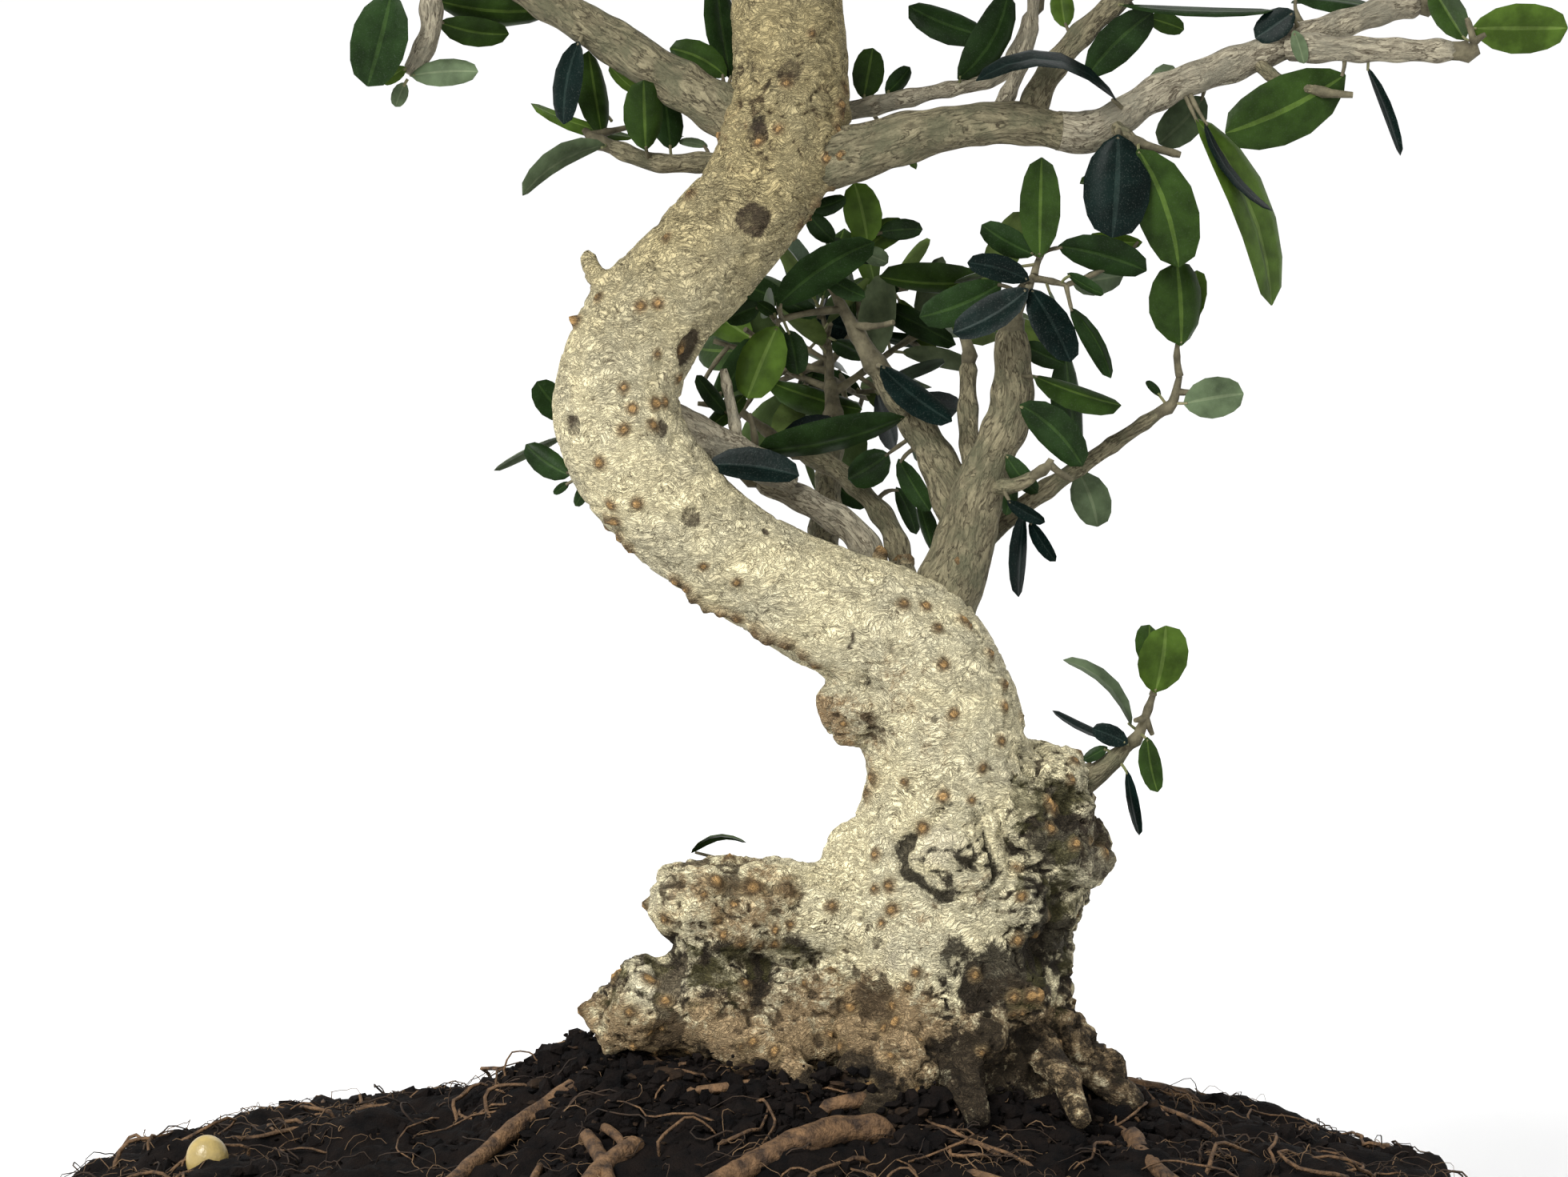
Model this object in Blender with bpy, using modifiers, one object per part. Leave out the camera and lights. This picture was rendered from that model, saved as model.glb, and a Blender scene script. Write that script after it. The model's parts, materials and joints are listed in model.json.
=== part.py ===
"""A wild olive grown as a bonsai, standing on its own root ball.

Metres, +Z up. The origin is the middle of the root ball's flat underside, +X is the right of the
tree's best side, and that side faces -Y. Every limb is a tapering tube on a smooth route; every
mass of foliage grows from one stem by a seeded rule and keeps to a ball of space of its own.
"""

import math
import random
from typing import NamedTuple

import bmesh
import bpy
import numpy as np
from mathutils import Matrix, Vector

# Root ball: an oval slab of soil with a mound on it.
BALL_LENGTH = 0.266
BALL_DEPTH = 0.222
MOUND_TOP = 0.0670
RIM_TOP = 0.0410
SHOULDER = 0.0350
MOUND_FLAT = 0.28
MOUND_FALL_POWER = 0.75
BALL_STEPS = 32
SOIL_SHARES = (0.0, 0.14, 0.28, 0.37, 0.48, 0.60, 0.73, 0.86, 0.97)
SOIL_SIDE = ((1.0, 1.0), (0.995, 0.66), (0.965, 0.30), (0.90, 0.0), (0.0, 0.0))
LUMP = 0.0012
LUMP_WAVES = 9
LUMP_WAVE = (0.014, 0.036)
SOIL_SEED = 3
WELD = 0.00001
MERGE = 0.00005

# Clearances between neighbouring pieces.
CLEAR = 0.0003
LEAF_CLEAR = 0.0006
LEAF_APART = 0.0026

# Trunk, as stations of x, y, z and radius from the foot to the tip.
FOOT = 0.0620
TRUNK_SIDES = 14
TRUNK_RINGS_PER_SPAN = 2
TRUNK = (
    (0.0327, 0.000, FOOT - 0.004, 0.0275),
    (0.0328, 0.000, 0.0730, 0.0252),
    (0.0332, -0.001, 0.0860, 0.0232),
    (0.0340, -0.002, 0.0990, 0.0205),
    (0.0352, -0.003, 0.1120, 0.0172),
    (0.0352, -0.004, 0.1220, 0.0155),
    (0.0330, -0.005, 0.1330, 0.0150),
    (0.0262, -0.006, 0.1440, 0.0140),
    (0.0130, -0.008, 0.1508, 0.0118),
    (-0.0020, -0.010, 0.1592, 0.0106),
    (-0.0150, -0.012, 0.1690, 0.0110),
    (-0.0238, -0.012, 0.1800, 0.0117),
    (-0.0262, -0.011, 0.1910, 0.0117),
    (-0.0215, -0.009, 0.2035, 0.0114),
    (-0.0110, -0.006, 0.2155, 0.0109),
    (-0.0010, -0.003, 0.2275, 0.0107),
    (0.0045, 0.000, 0.2390, 0.0118),
    (0.0056, 0.002, 0.2510, 0.0109),
    (0.0050, 0.004, 0.2660, 0.0103),
    (0.0075, 0.005, 0.2860, 0.0085),
    (0.0150, 0.003, 0.3120, 0.0060),
    (0.0130, 0.000, 0.3350, 0.0040),
    (0.0080, 0.000, 0.3580, 0.0022),
)

# Roots and stubs that are one piece with the trunk: stations as above.
STUMP = (
    (0.0240, -0.003, 0.0900, 0.0120), (0.0080, -0.006, 0.0930, 0.0104), (-0.0070, -0.009, 0.0953, 0.0092),
    (-0.0160, -0.011, 0.0960, 0.0086), (-0.0208, -0.012, 0.0962, 0.0062),
)
KNEE = (
    (0.0200, -0.006, 0.0720, 0.0120), (0.0045, -0.010, 0.0755, 0.0104), (-0.0100, -0.013, 0.0770, 0.0092),
    (-0.0230, -0.014, 0.0775, 0.0084), (-0.0310, -0.014, 0.0740, 0.0058),
)
RIGHT_ROOT = (
    (0.0440, -0.004, 0.0790, 0.0090), (0.0550, -0.007, 0.0725, 0.0054), (0.0630, -0.010, 0.0650, 0.0040),
    (0.0700, -0.012, 0.0580, 0.0028),
)
BACK_ROOT = (
    (0.0340, 0.006, 0.0780, 0.0110), (0.0270, 0.026, 0.0700, 0.0078), (0.0200, 0.044, 0.0590, 0.0036),
)
FRONT_ROOT = (
    (0.0300, -0.008, 0.0740, 0.0110), (0.0260, -0.022, 0.0690, 0.0080), (0.0190, -0.036, 0.0600, 0.0046),
)
SPUR = (
    (-0.0260, -0.010, 0.2095, 0.0026), (-0.0300, -0.010, 0.2125, 0.0019), (-0.0320, -0.010, 0.2170, 0.0013),
)
CUT_STUB = (
    (0.0440, -0.003, 0.1060, 0.0100), (0.0560, -0.007, 0.1062, 0.0092), (0.0630, -0.011, 0.1060, 0.0078),
)
TRUNK_BRANCHES = (STUMP, KNEE, RIGHT_ROOT, BACK_ROOT, FRONT_ROOT, SPUR, CUT_STUB)
BRANCH_SIDES = 8
BRANCH_RINGS_PER_SPAN = 2
CUT_BLOCK = 0.2

# Burls: centre and half-sizes.
BURLS = (
    ((0.0525, 0.001, 0.1155), (0.0105, 0.0105, 0.0098)),
    ((0.0188, -0.008, 0.1305), (0.0080, 0.0076, 0.0086)),
    ((0.0348, -0.014, 0.1052), (0.0100, 0.0075, 0.0100)),
    ((0.0500, -0.001, 0.0830), (0.0092, 0.0130, 0.0150)),
    ((0.0220, 0.012, 0.0820), (0.0130, 0.0120, 0.0140)),
)
BURL_SEGMENTS, BURL_RINGS = 10, 6

# Roots that lie over the soil, one piece with the root ball: x, y and radius along each.
SURFACE_ROOTS = (
    ((0.026, -0.040, 0.0030), (0.008, -0.050, 0.0030), (-0.008, -0.062, 0.0027), (-0.013, -0.084, 0.0022)),
    ((-0.028, -0.018, 0.0024), (-0.044, -0.028, 0.0020), (-0.058, -0.050, 0.0016), (-0.078, -0.062, 0.0012)),
    ((-0.020, -0.046, 0.0020), (-0.030, -0.060, 0.0020), (-0.030, -0.084, 0.0015)),
    ((0.068, -0.020, 0.0024), (0.072, -0.040, 0.0016), (0.084, -0.060, 0.0012)),
    ((0.018, 0.046, 0.0030), (0.010, 0.064, 0.0024), (-0.010, 0.084, 0.0016)),
    ((0.052, 0.028, 0.0026), (0.072, 0.044, 0.0020), (0.090, 0.050, 0.0014)),
)
ROOT_SIDES = 4
ROOT_RINGS_PER_SPAN = 3
ROOT_LIFT_SHARE = 0.3

# Boughs: name, what each grows from, base radius, tip radius, route.
BOUGHS = (
    ("left_bough", "trunk", 0.0046, 0.0032,
     ((0.0038, 0.000, 0.2390), (-0.0068, 0.001, 0.2435), (-0.0180, 0.003, 0.2502), (-0.0285, 0.005, 0.2570),
      (-0.0405, 0.006, 0.2645), (-0.0520, 0.006, 0.2720))),
    ("low_left_bough", "trunk", 0.0022, 0.0016,
     ((0.0015, 0.002, 0.2330), (-0.0098, 0.005, 0.2338), (-0.0195, 0.006, 0.2338), (-0.0285, 0.006, 0.2370))),
    ("right_bough", "trunk", 0.0047, 0.0034,
     ((0.0075, -0.002, 0.2335), (0.0172, -0.004, 0.2353), (0.0300, -0.006, 0.2390), (0.0450, -0.008, 0.2410),
      (0.0570, -0.009, 0.2392))),
    ("right_limb", "right_bough", 0.0034, 0.0026,
     ((0.0550, -0.009, 0.2395), (0.0600, -0.008, 0.2392), (0.0650, -0.008, 0.2412), (0.0750, -0.006, 0.2472),
      (0.0915, -0.003, 0.2532), (0.1125, 0.000, 0.2608), (0.1222, 0.002, 0.2633))),
    ("right_fork", "right_limb", 0.0025, 0.0021,
     ((0.0985, -0.003, 0.2552), (0.1060, -0.008, 0.2545), (0.1280, -0.012, 0.2540))),
    ("pale_bough", "trunk", 0.0019, 0.0014,
     ((0.0090, 0.006, 0.2425), (0.0172, 0.009, 0.2436), (0.0300, 0.012, 0.2465), (0.0445, 0.014, 0.2500),
      (0.0490, 0.015, 0.2560), (0.0515, 0.015, 0.2620))),
    ("rising_bough", "right_bough", 0.0026, 0.0020,
     ((0.0490, -0.008, 0.2400), (0.0535, -0.006, 0.2500), (0.0600, -0.004, 0.2578),
      (0.0675, -0.003, 0.2645))),
    ("low_bough", "trunk", 0.0060, 0.0030,
     ((0.0305, -0.002, 0.1440), (0.0368, 0.000, 0.1580), (0.0400, 0.000, 0.1700), (0.0440, -0.001, 0.1805),
      (0.0470, -0.002, 0.1890), (0.0468, -0.003, 0.2030))),
    ("low_inner_bough", "low_bough", 0.0040, 0.0026,
     ((0.0385, 0.002, 0.1660), (0.0340, 0.005, 0.1770), (0.0280, 0.008, 0.1870), (0.0225, 0.009, 0.1948))),
    ("low_far_bough", "trunk", 0.0026, 0.0017,
     ((0.0280, 0.006, 0.1500), (0.0250, 0.014, 0.1640), (0.0160, 0.018, 0.1745), (0.0080, 0.020, 0.1785))),
    ("low_creased_bough", "trunk", 0.0030, 0.0024,
     ((0.0245, 0.000, 0.1500), (0.0190, 0.003, 0.1630), (0.0110, 0.005, 0.1690), (0.0000, 0.006, 0.1745))),
    ("low_shoot", "low_bough", 0.0020, 0.0016,
     ((0.0400, 0.002, 0.1760), (0.0392, 0.007, 0.1850), (0.0393, 0.009, 0.1960))),
    ("low_right_bough", "low_bough", 0.0022, 0.0013,
     ((0.0380, 0.002, 0.1610), (0.0430, 0.005, 0.1642), (0.0525, 0.006, 0.1715), (0.0645, 0.004, 0.1798),
      (0.0750, 0.002, 0.1872))),
    ("hanging_twig", "right_limb", 0.0015, 0.0012,
     ((0.0650, -0.008, 0.2410), (0.0665, -0.0125, 0.2390), (0.0685, -0.0145, 0.2378))),
    ("right_spur", "right_limb", 0.0013, 0.0011,
     ((0.0910, -0.003, 0.2532), (0.0955, -0.0075, 0.2490), (0.1020, -0.010, 0.2470))),
    ("low_side_twig", "low_bough", 0.0015, 0.0012,
     ((0.0415, -0.001, 0.1730), (0.0475, -0.007, 0.1740), (0.0510, -0.009, 0.1760))),
    ("bend_twig", "trunk", 0.0016, 0.0012,
     ((-0.0160, -0.008, 0.1700), (-0.0220, 0.006, 0.1750), (-0.0280, 0.010, 0.1800))),
    ("low_back_bough", "trunk", 0.0036, 0.0022,
     ((0.0130, -0.004, 0.1510), (0.0120, 0.016, 0.1600), (0.0130, 0.031, 0.1720), (0.0140, 0.042, 0.1840))),
    ("basal_shoot", "trunk", 0.0028, 0.0014,
     ((0.0560, 0.000, 0.1150), (0.0638, -0.002, 0.1200), (0.0690, -0.003, 0.1250))),
    ("upper_left_bough", "trunk", 0.0042, 0.0026,
     ((0.006, 0.004, 0.2800), (-0.016, 0.006, 0.2920), (-0.040, 0.008, 0.3020))),
    ("upper_right_bough", "trunk", 0.0040, 0.0026,
     ((0.010, 0.004, 0.2930), (0.034, 0.000, 0.3040), (0.056, -0.004, 0.3100))),
    ("upper_back_bough", "trunk", 0.0042, 0.0026,
     ((0.005, 0.004, 0.2700), (0.009, 0.026, 0.2800), (0.012, 0.046, 0.2930))),
    ("upper_front_bough", "trunk", 0.0036, 0.0024,
     ((0.010, 0.004, 0.2950), (0.004, -0.016, 0.3050), (0.000, -0.034, 0.3120))),
    ("shoulder_left_bough", "trunk", 0.0028, 0.0020,
     ((0.015, 0.002, 0.3180), (-0.004, -0.004, 0.3320), (-0.020, -0.008, 0.3420))),
    ("shoulder_right_bough", "trunk", 0.0028, 0.0020,
     ((0.015, 0.002, 0.3120), (0.028, 0.010, 0.3280), (0.040, 0.014, 0.3420))),
)
BOUGH_SIDES = 8
SLIM_SIDES = 6
SLIM_RADIUS = 0.0030
BOUGH_RINGS_PER_SPAN = 2


class Mass(NamedTuple):
    """A mass of foliage; twigs is how many, or each one's tip and its pairs of leaves."""

    name: str
    limb: str
    centre: tuple
    reach: float
    stem_end: tuple
    seed: int
    twigs: object
    leaf_scale: float = 1.0


MASSES = tuple(Mass(*row) for row in (
    ("leaves_left_far", "left_bough", (-0.0600, 0.006, 0.2700), 0.0330, (-0.0660, 0.006, 0.2740), 151,
     ((-0.0645, 0.000, 0.2555, 3), (-0.0690, -0.004, 0.2625, 2), (-0.0520, 0.012, 0.2630, 2),
      (-0.0800, 0.010, 0.2780, 3), (-0.0640, -0.008, 0.2900, 3), (-0.0500, 0.010, 0.2880, 3),
      (-0.0720, 0.022, 0.2860, 3))),
    ("leaves_left_low", "low_left_bough", (-0.0310, 0.009, 0.2430), 0.0230, (-0.0330, 0.007, 0.2400), 132,
     ((-0.0335, 0.004, 0.2445, 2), (-0.0230, 0.013, 0.2410, 2), (-0.0370, 0.008, 0.2370, 1))),
    ("leaves_right_hanging", "hanging_twig", (0.0720, -0.016, 0.2250), 0.0290, (0.0770, -0.016, 0.2350), 146,
     ((0.0650, -0.019, 0.2330, 1), (0.0700, -0.016, 0.2310, 2), (0.0810, -0.013, 0.2360, 2))),
    ("leaves_right_under", "right_spur", (0.1010, -0.011, 0.2420), 0.0200, (0.1090, -0.011, 0.2460), 55,
     ((0.1050, -0.010, 0.2465, 1), (0.1110, -0.010, 0.2460, 1))),
    ("leaves_right_tip", "right_fork", (0.1380, -0.012, 0.2580), 0.0180, (0.1310, -0.012, 0.2555), 190,
     ((0.1330, -0.013, 0.2570, 1), (0.1300, -0.010, 0.2600, 1))),
    ("leaves_right_top", "right_limb", (0.1180, 0.006, 0.2750), 0.0250, (0.1240, 0.004, 0.2700), 15,
     ((0.1240, 0.002, 0.2820, 3), (0.1140, 0.012, 0.2800, 3), (0.1320, 0.010, 0.2760, 2),
      (0.1060, 0.006, 0.2720, 3))),
    ("leaves_pale_bough", "pale_bough", (0.0370, 0.017, 0.2680), 0.0270, (0.0480, 0.016, 0.2700), 98,
     ((0.0420, 0.012, 0.2600, 3), (0.0310, 0.014, 0.2640, 3), (0.0440, 0.022, 0.2820, 3),
      (0.0560, 0.016, 0.2800, 3), (0.0250, 0.016, 0.2560, 2))),
    ("leaves_rising_bough", "rising_bough", (0.0780, -0.004, 0.2720), 0.0270, (0.0740, -0.003, 0.2700), 160,
     ((0.0680, -0.008, 0.2580, 2), (0.0780, -0.008, 0.2620, 2), (0.0900, -0.006, 0.2650, 2),
      (0.0840, 0.004, 0.2760, 3), (0.0760, -0.004, 0.2880, 3))),
    ("leaves_low_inner", "low_inner_bough", (0.0140, 0.009, 0.2060), 0.0300, (0.0130, 0.011, 0.2110), 125,
     ((0.0180, 0.008, 0.2190, 2), (0.0100, 0.004, 0.2140, 2), (0.0260, 0.012, 0.2110, 3),
      (0.0030, 0.008, 0.2040, 3), (0.0120, 0.000, 0.2000, 2), (0.0060, 0.018, 0.1960, 3),
      (0.0250, 0.002, 0.2040, 2))),
    ("leaves_low_front", "low_bough", (0.0520, -0.006, 0.2100), 0.0260, (0.0510, -0.004, 0.2130), 199,
     ((0.0525, -0.003, 0.2170, 1), (0.0500, -0.008, 0.2110, 1), (0.0570, -0.003, 0.2110, 2),
      (0.0570, -0.001, 0.2000, 3))),
    ("leaves_low_shoot", "low_shoot", (0.0360, 0.024, 0.2060), 0.0260, (0.0370, 0.018, 0.2060), 37,
     ((0.0310, 0.016, 0.2050, 3), (0.0350, 0.024, 0.2140, 2), (0.0420, 0.020, 0.2080, 2))),
    ("leaves_low_far", "low_far_bough", (-0.0040, 0.026, 0.1850), 0.0250, (-0.0060, 0.024, 0.1880), 26,
     ((-0.0040, 0.016, 0.1930, 2), (0.0020, 0.018, 0.1800, 2), (-0.0120, 0.022, 0.1880, 3))),
    ("leaves_low_creased", "low_creased_bough", (0.0030, 0.000, 0.1820), 0.0200, (-0.0010, 0.003, 0.1790), 59,
     ((0.0090, -0.002, 0.1820, 1), (0.0060, 0.002, 0.1770, 1), (-0.0020, 0.000, 0.1870, 2))),
    ("leaves_low_side", "low_side_twig", (0.0560, -0.010, 0.1750), 0.0210, (0.0540, -0.010, 0.1790), 73,
     ((0.0570, -0.010, 0.1840, 2), (0.0580, -0.008, 0.1750, 2), (0.0510, -0.012, 0.1670, 2)), 0.85),
    ("leaves_low_right", "low_right_bough", (0.0790, 0.001, 0.1970), 0.0210, (0.0785, 0.001, 0.1940), 37,
     ((0.0780, 0.000, 0.2000, 1), (0.0820, 0.001, 0.1910, 1)), 0.85),
    ("leaves_behind_bend", "bend_twig", (-0.0380, 0.012, 0.1840), 0.0180, (-0.0345, 0.013, 0.1855), 24,
     ((-0.0350, 0.011, 0.1900, 1), (-0.0380, 0.012, 0.1820, 1)), 0.75),
    ("leaves_low_back", "low_back_bough", (0.0140, 0.056, 0.1970), 0.0290, (0.0130, 0.052, 0.1960), 63, 7),
    ("leaves_basal", "basal_shoot", (0.0700, -0.005, 0.1300), 0.0200, (0.0735, -0.004, 0.1345), 138,
     ((0.0740, -0.004, 0.1365, 1), (0.0700, -0.006, 0.1300, 1), (0.0735, -0.003, 0.1270, 1),
      (0.0700, -0.002, 0.1270, 1)), 0.66),
    ("leaves_upper_left", "upper_left_bough", (-0.0500, 0.010, 0.3130), 0.0330,
     (-0.0520, 0.010, 0.3140), 26, 5),
    ("leaves_upper_right", "upper_right_bough", (0.0700, -0.006, 0.3190), 0.0330,
     (0.0710, -0.006, 0.3190), 27, 5),
    ("leaves_upper_back", "upper_back_bough", (0.0140, 0.062, 0.3050), 0.0340,
     (0.0140, 0.062, 0.3060), 28, 5),
    ("leaves_upper_front", "upper_front_bough", (-0.0010, -0.046, 0.3220), 0.0310,
     (-0.0020, -0.046, 0.3220), 29, 5),
    ("leaves_shoulder_left", "shoulder_left_bough", (-0.0310, -0.010, 0.3530), 0.0290,
     (-0.0310, -0.010, 0.3520), 30, 5),
    ("leaves_shoulder_right", "shoulder_right_bough", (0.0490, 0.017, 0.3530), 0.0290,
     (0.0480, 0.016, 0.3520), 31, 5),
    ("leaves_top", "trunk", (0.0070, 0.000, 0.3730), 0.0270, (0.0070, 0.000, 0.3740), 32, 6),
))

# Stems: a short knee straight on from the limb's tip, then on to the stem's end.
STEM_SHARE = 0.85
STEM_KNEE = 0.0025
KNEE_SHARE = 0.9
STEM_TIP_RADIUS = 0.0006
STEM_SIDES = 6
BALL_SPACING = 0.0012

# Twigs: those set by rule turn by the golden angle; those given a tip leave the stem at a forward slant.
RULED_PAIRS = 3
GOLDEN_ANGLE = math.radians(137.5)
TURN_PLAY = 0.35
FIRST_TWIG = 0.22
TWIG_SPREAD = math.radians(58)
SPREAD_PLAY = (0.7, 1.3)
LAST_SPREAD = 0.05
TWIG_SHARE = (0.50, 0.86)
LAST_TWIG_SHARE = 0.6
LOWEST_FOOT = 0.45
FOOT_SLANT = 0.25
TWIG_TRIES = (1.0, 0.75, 0.5)
TWIG_CHECKS = (0.12, 0.25, 0.4, 0.55, 0.7, 0.85, 1.0)
TWIG_RADIUS = 0.0008
TWIG_TIP_RADIUS = 0.0005
TWIG_SIDES = 3

# Leaves: opposite pairs, each pair a quarter turn from the last.
LEAF_LENGTH = (0.0160, 0.0230)
LEAF_WIDTH_SHARE = (0.50, 0.62)
LEAF_THICK_SHARE = 0.05
LEAF_ROOT_SUNK = 0.00015
LEAF_LEAN = math.radians(52)
TIP_LEAF_LEAN = math.radians(30)
LEAF_TURN_PLAY = 0.5
LEAF_LEAN_PLAY = 0.25
FIRST_PAIR, LAST_PAIR = 0.40, 0.97
LEAF_TRIES = (1.0, 1.0, 0.85, 0.7)
BLADE_SHARES = (0.12, 0.25, 0.38, 0.50, 0.62, 0.75, 0.88, 1.0)
BLADE_SIDES = (-1, -0.5, 0, 0.5, 1)
ROOT_POINTS = 10
LEAF_SIDES = 4

# Finishes: colour and roughness.
BARK = ((0.46, 0.40, 0.27), 0.75)
BOUGH_BARK = ((0.31, 0.27, 0.18), 0.75)
LEAF = ((0.045, 0.105, 0.035), 0.45)
SOIL = ((0.022, 0.015, 0.010), 0.95)
CREASE_ANGLE = math.radians(40)
STEEP = 0.9


def clear_scene():
    """Removes every object of the starting scene."""
    for obj in list(bpy.data.objects):
        bpy.data.objects.remove(obj)


def collection(name):
    """A new collection of the scene."""
    made = bpy.data.collections.new(name)
    bpy.context.scene.collection.children.link(made)
    return made


def material(name, colour, roughness):
    """A Principled BSDF of one colour."""
    made = bpy.data.materials.new(name)
    made.use_nodes = True
    shader = made.node_tree.nodes["Principled BSDF"]
    shader.inputs["Base Color"].default_value = (*colour, 1.0)
    shader.inputs["Roughness"].default_value = roughness
    shader.inputs["Metallic"].default_value = 0.0
    return made


def smooth_route(stations, per_span):
    """Points of a Catmull-Rom curve through the stations, per_span of them in each span."""
    p = np.array(stations, float)
    p = np.vstack([2 * p[0] - p[1], p, 2 * p[-1] - p[-2]])
    out = []
    for a, b, c, d in zip(p[:-3], p[1:-2], p[2:-1], p[3:]):
        for t in np.arange(per_span) / per_span:
            out.append(0.5 * (2 * b + (c - a) * t + (2 * a - 5 * b + 4 * c - d) * t ** 2
                              + (3 * b - a - 3 * c + d) * t ** 3))
    return np.array([*out, p[-2]])


def lengthened(route, extra):
    """A route carried straight on by a little at its tip."""
    step = route[-1][:3] - route[-2][:3]
    beyond = route[-1][:3] + step * (extra / np.linalg.norm(step))
    return np.vstack([route, (*beyond, route[-1][3])])


def tube(name, route, sides, home, grow=0.0):
    """A closed mesh tube along route, whose rows are x, y, z and radius, made fatter and longer by grow."""
    if grow:
        route = lengthened(route, grow)
    curve = bpy.data.curves.new(name, "CURVE")
    curve.dimensions = "3D"
    curve.bevel_depth = 1.0
    curve.bevel_resolution = (sides - 4) // 2
    curve.use_fill_caps = True
    spline = curve.splines.new("POLY")
    spline.points.add(len(route) - 1)
    for point, (x, y, z, radius) in zip(spline.points, route):
        point.co = (x, y, z, 1.0)
        point.radius = radius + grow
    drawn = bpy.data.objects.new(name, curve)
    home.objects.link(drawn)
    made = as_mesh(drawn, home)
    weld(made)
    return made


def as_mesh(source, home):
    """A mesh object of what the source shows, in its place; the source is removed."""
    name = source.name
    graph = bpy.context.evaluated_depsgraph_get()
    mesh = bpy.data.meshes.new_from_object(source.evaluated_get(graph))
    place = source.matrix_world.copy()
    bpy.data.objects.remove(source)
    made = bpy.data.objects.new(name, mesh)
    made.matrix_world = place
    home.objects.link(made)
    return made


def weld(obj):
    """Merges points that coincide and turns every face outwards."""
    bm = bmesh.new()
    bm.from_mesh(obj.data)
    bmesh.ops.remove_doubles(bm, verts=bm.verts, dist=WELD)
    bmesh.ops.recalc_face_normals(bm, faces=bm.faces)
    bm.to_mesh(obj.data)
    bm.free()


def from_bmesh(name, bm, home):
    """An object of a bmesh, which is freed."""
    mesh = bpy.data.meshes.new(name)
    bm.to_mesh(mesh)
    bm.free()
    made = bpy.data.objects.new(name, mesh)
    home.objects.link(made)
    return made


def ellipsoid(name, centre, half_sizes, home, grow=0.0):
    """A sphere scaled to three half-sizes, each made larger by grow."""
    bm = bmesh.new()
    scale = Matrix.Diagonal([size + grow for size in half_sizes]).to_4x4()
    bmesh.ops.create_uvsphere(bm, u_segments=BURL_SEGMENTS, v_segments=BURL_RINGS, radius=1.0,
                              matrix=Matrix.Translation(centre) @ scale)
    return from_bmesh(name, bm, home)


def box(name, low, high, home):
    """A box between two corners."""
    low, high = Vector(low), Vector(high)
    bm = bmesh.new()
    scale = Matrix.Diagonal(high - low).to_4x4()
    bmesh.ops.create_cube(bm, size=1.0, matrix=Matrix.Translation((low + high) / 2) @ scale)
    return from_bmesh(name, bm, home)


def joined(base, others, operation, home):
    """The base after one Boolean with each of the others, which are removed."""
    group = collection("joining")
    for other in others:
        for old in list(other.users_collection):
            old.objects.unlink(other)
        group.objects.link(other)
    cut = base.modifiers.new("join", "BOOLEAN")
    cut.operation = operation
    cut.solver = "MANIFOLD"
    cut.operand_type = "COLLECTION"
    cut.collection = group
    made = as_mesh(base, home)
    for other in list(group.objects):
        bpy.data.objects.remove(other)
    bpy.data.collections.remove(group)
    return made


def trunk_solid(name, home, grow=0.0):
    """The trunk with its flare, stubs and burls, cut flat at the foot; grow fattens all of it."""
    base = tube(name, smooth_route(TRUNK, TRUNK_RINGS_PER_SPAN), TRUNK_SIDES, home, grow)
    routes = [smooth_route(stations, BRANCH_RINGS_PER_SPAN) for stations in TRUNK_BRANCHES]
    others = [tube("branch", route, BRANCH_SIDES, home, grow) for route in routes]
    others += [ellipsoid("burl", centre, sizes, home, grow) for centre, sizes in BURLS]
    base = joined(base, others, "UNION", home)
    below = box("below", (-CUT_BLOCK, -CUT_BLOCK, -CUT_BLOCK), (CUT_BLOCK, CUT_BLOCK, FOOT - grow), home)
    return joined(base, [below], "DIFFERENCE", home)


def soil_height(x, y):
    """Height of the root ball's top: a mound that falls from its flat crown to the rim, steeply at first."""
    share = min(1.0, math.hypot(x / (BALL_LENGTH / 2), y / (BALL_DEPTH / 2)))
    along = max(0.0, (share - MOUND_FLAT) / (1 - MOUND_FLAT))
    return MOUND_TOP - (MOUND_TOP - RIM_TOP) * along ** MOUND_FALL_POWER


def soil_unevenness(seed):
    """A smooth height field of a few waves, for the unevenness of the soil."""
    rng = random.Random(seed)
    waves = [(rng.uniform(0, math.tau), rng.uniform(*LUMP_WAVE), rng.uniform(0, math.tau))
             for _ in range(LUMP_WAVES)]

    def height(x, y):
        total = sum(math.sin((x * math.cos(a) + y * math.sin(a)) * math.tau / w + p) for a, w, p in waves)
        return LUMP * total / math.sqrt(LUMP_WAVES / 2)

    return height


def soil_solid(home, rise):
    """The soil: a turned profile squashed to an oval, its top and sides made uneven."""
    half = BALL_LENGTH / 2
    profile = [(half * share, soil_height(half * share, 0.0)) for share in SOIL_SHARES]
    profile += [(half * out, SHOULDER * up) for out, up in SOIL_SIDE]
    bm = bmesh.new()
    points = [bm.verts.new((x, 0.0, z)) for x, z in profile]
    for a, b in zip(points, points[1:]):
        bm.edges.new((a, b))
    turned = from_bmesh("root_ball", bm, home)
    screw = turned.modifiers.new("turn", "SCREW")
    screw.steps = screw.render_steps = BALL_STEPS
    screw.use_merge_vertices = True
    screw.merge_threshold = MERGE
    soil = as_mesh(turned, home)
    for vertex in soil.data.vertices:
        x, y, z = vertex.co
        y *= BALL_DEPTH / BALL_LENGTH
        if z > SHOULDER + CLEAR:
            z += rise(x, y)
        bulge = 1 + rise(x + z, y - z) / half * min(1.0, z / SHOULDER)
        vertex.co = (x * bulge, y * bulge, z)
    weld(soil)
    return soil


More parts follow.
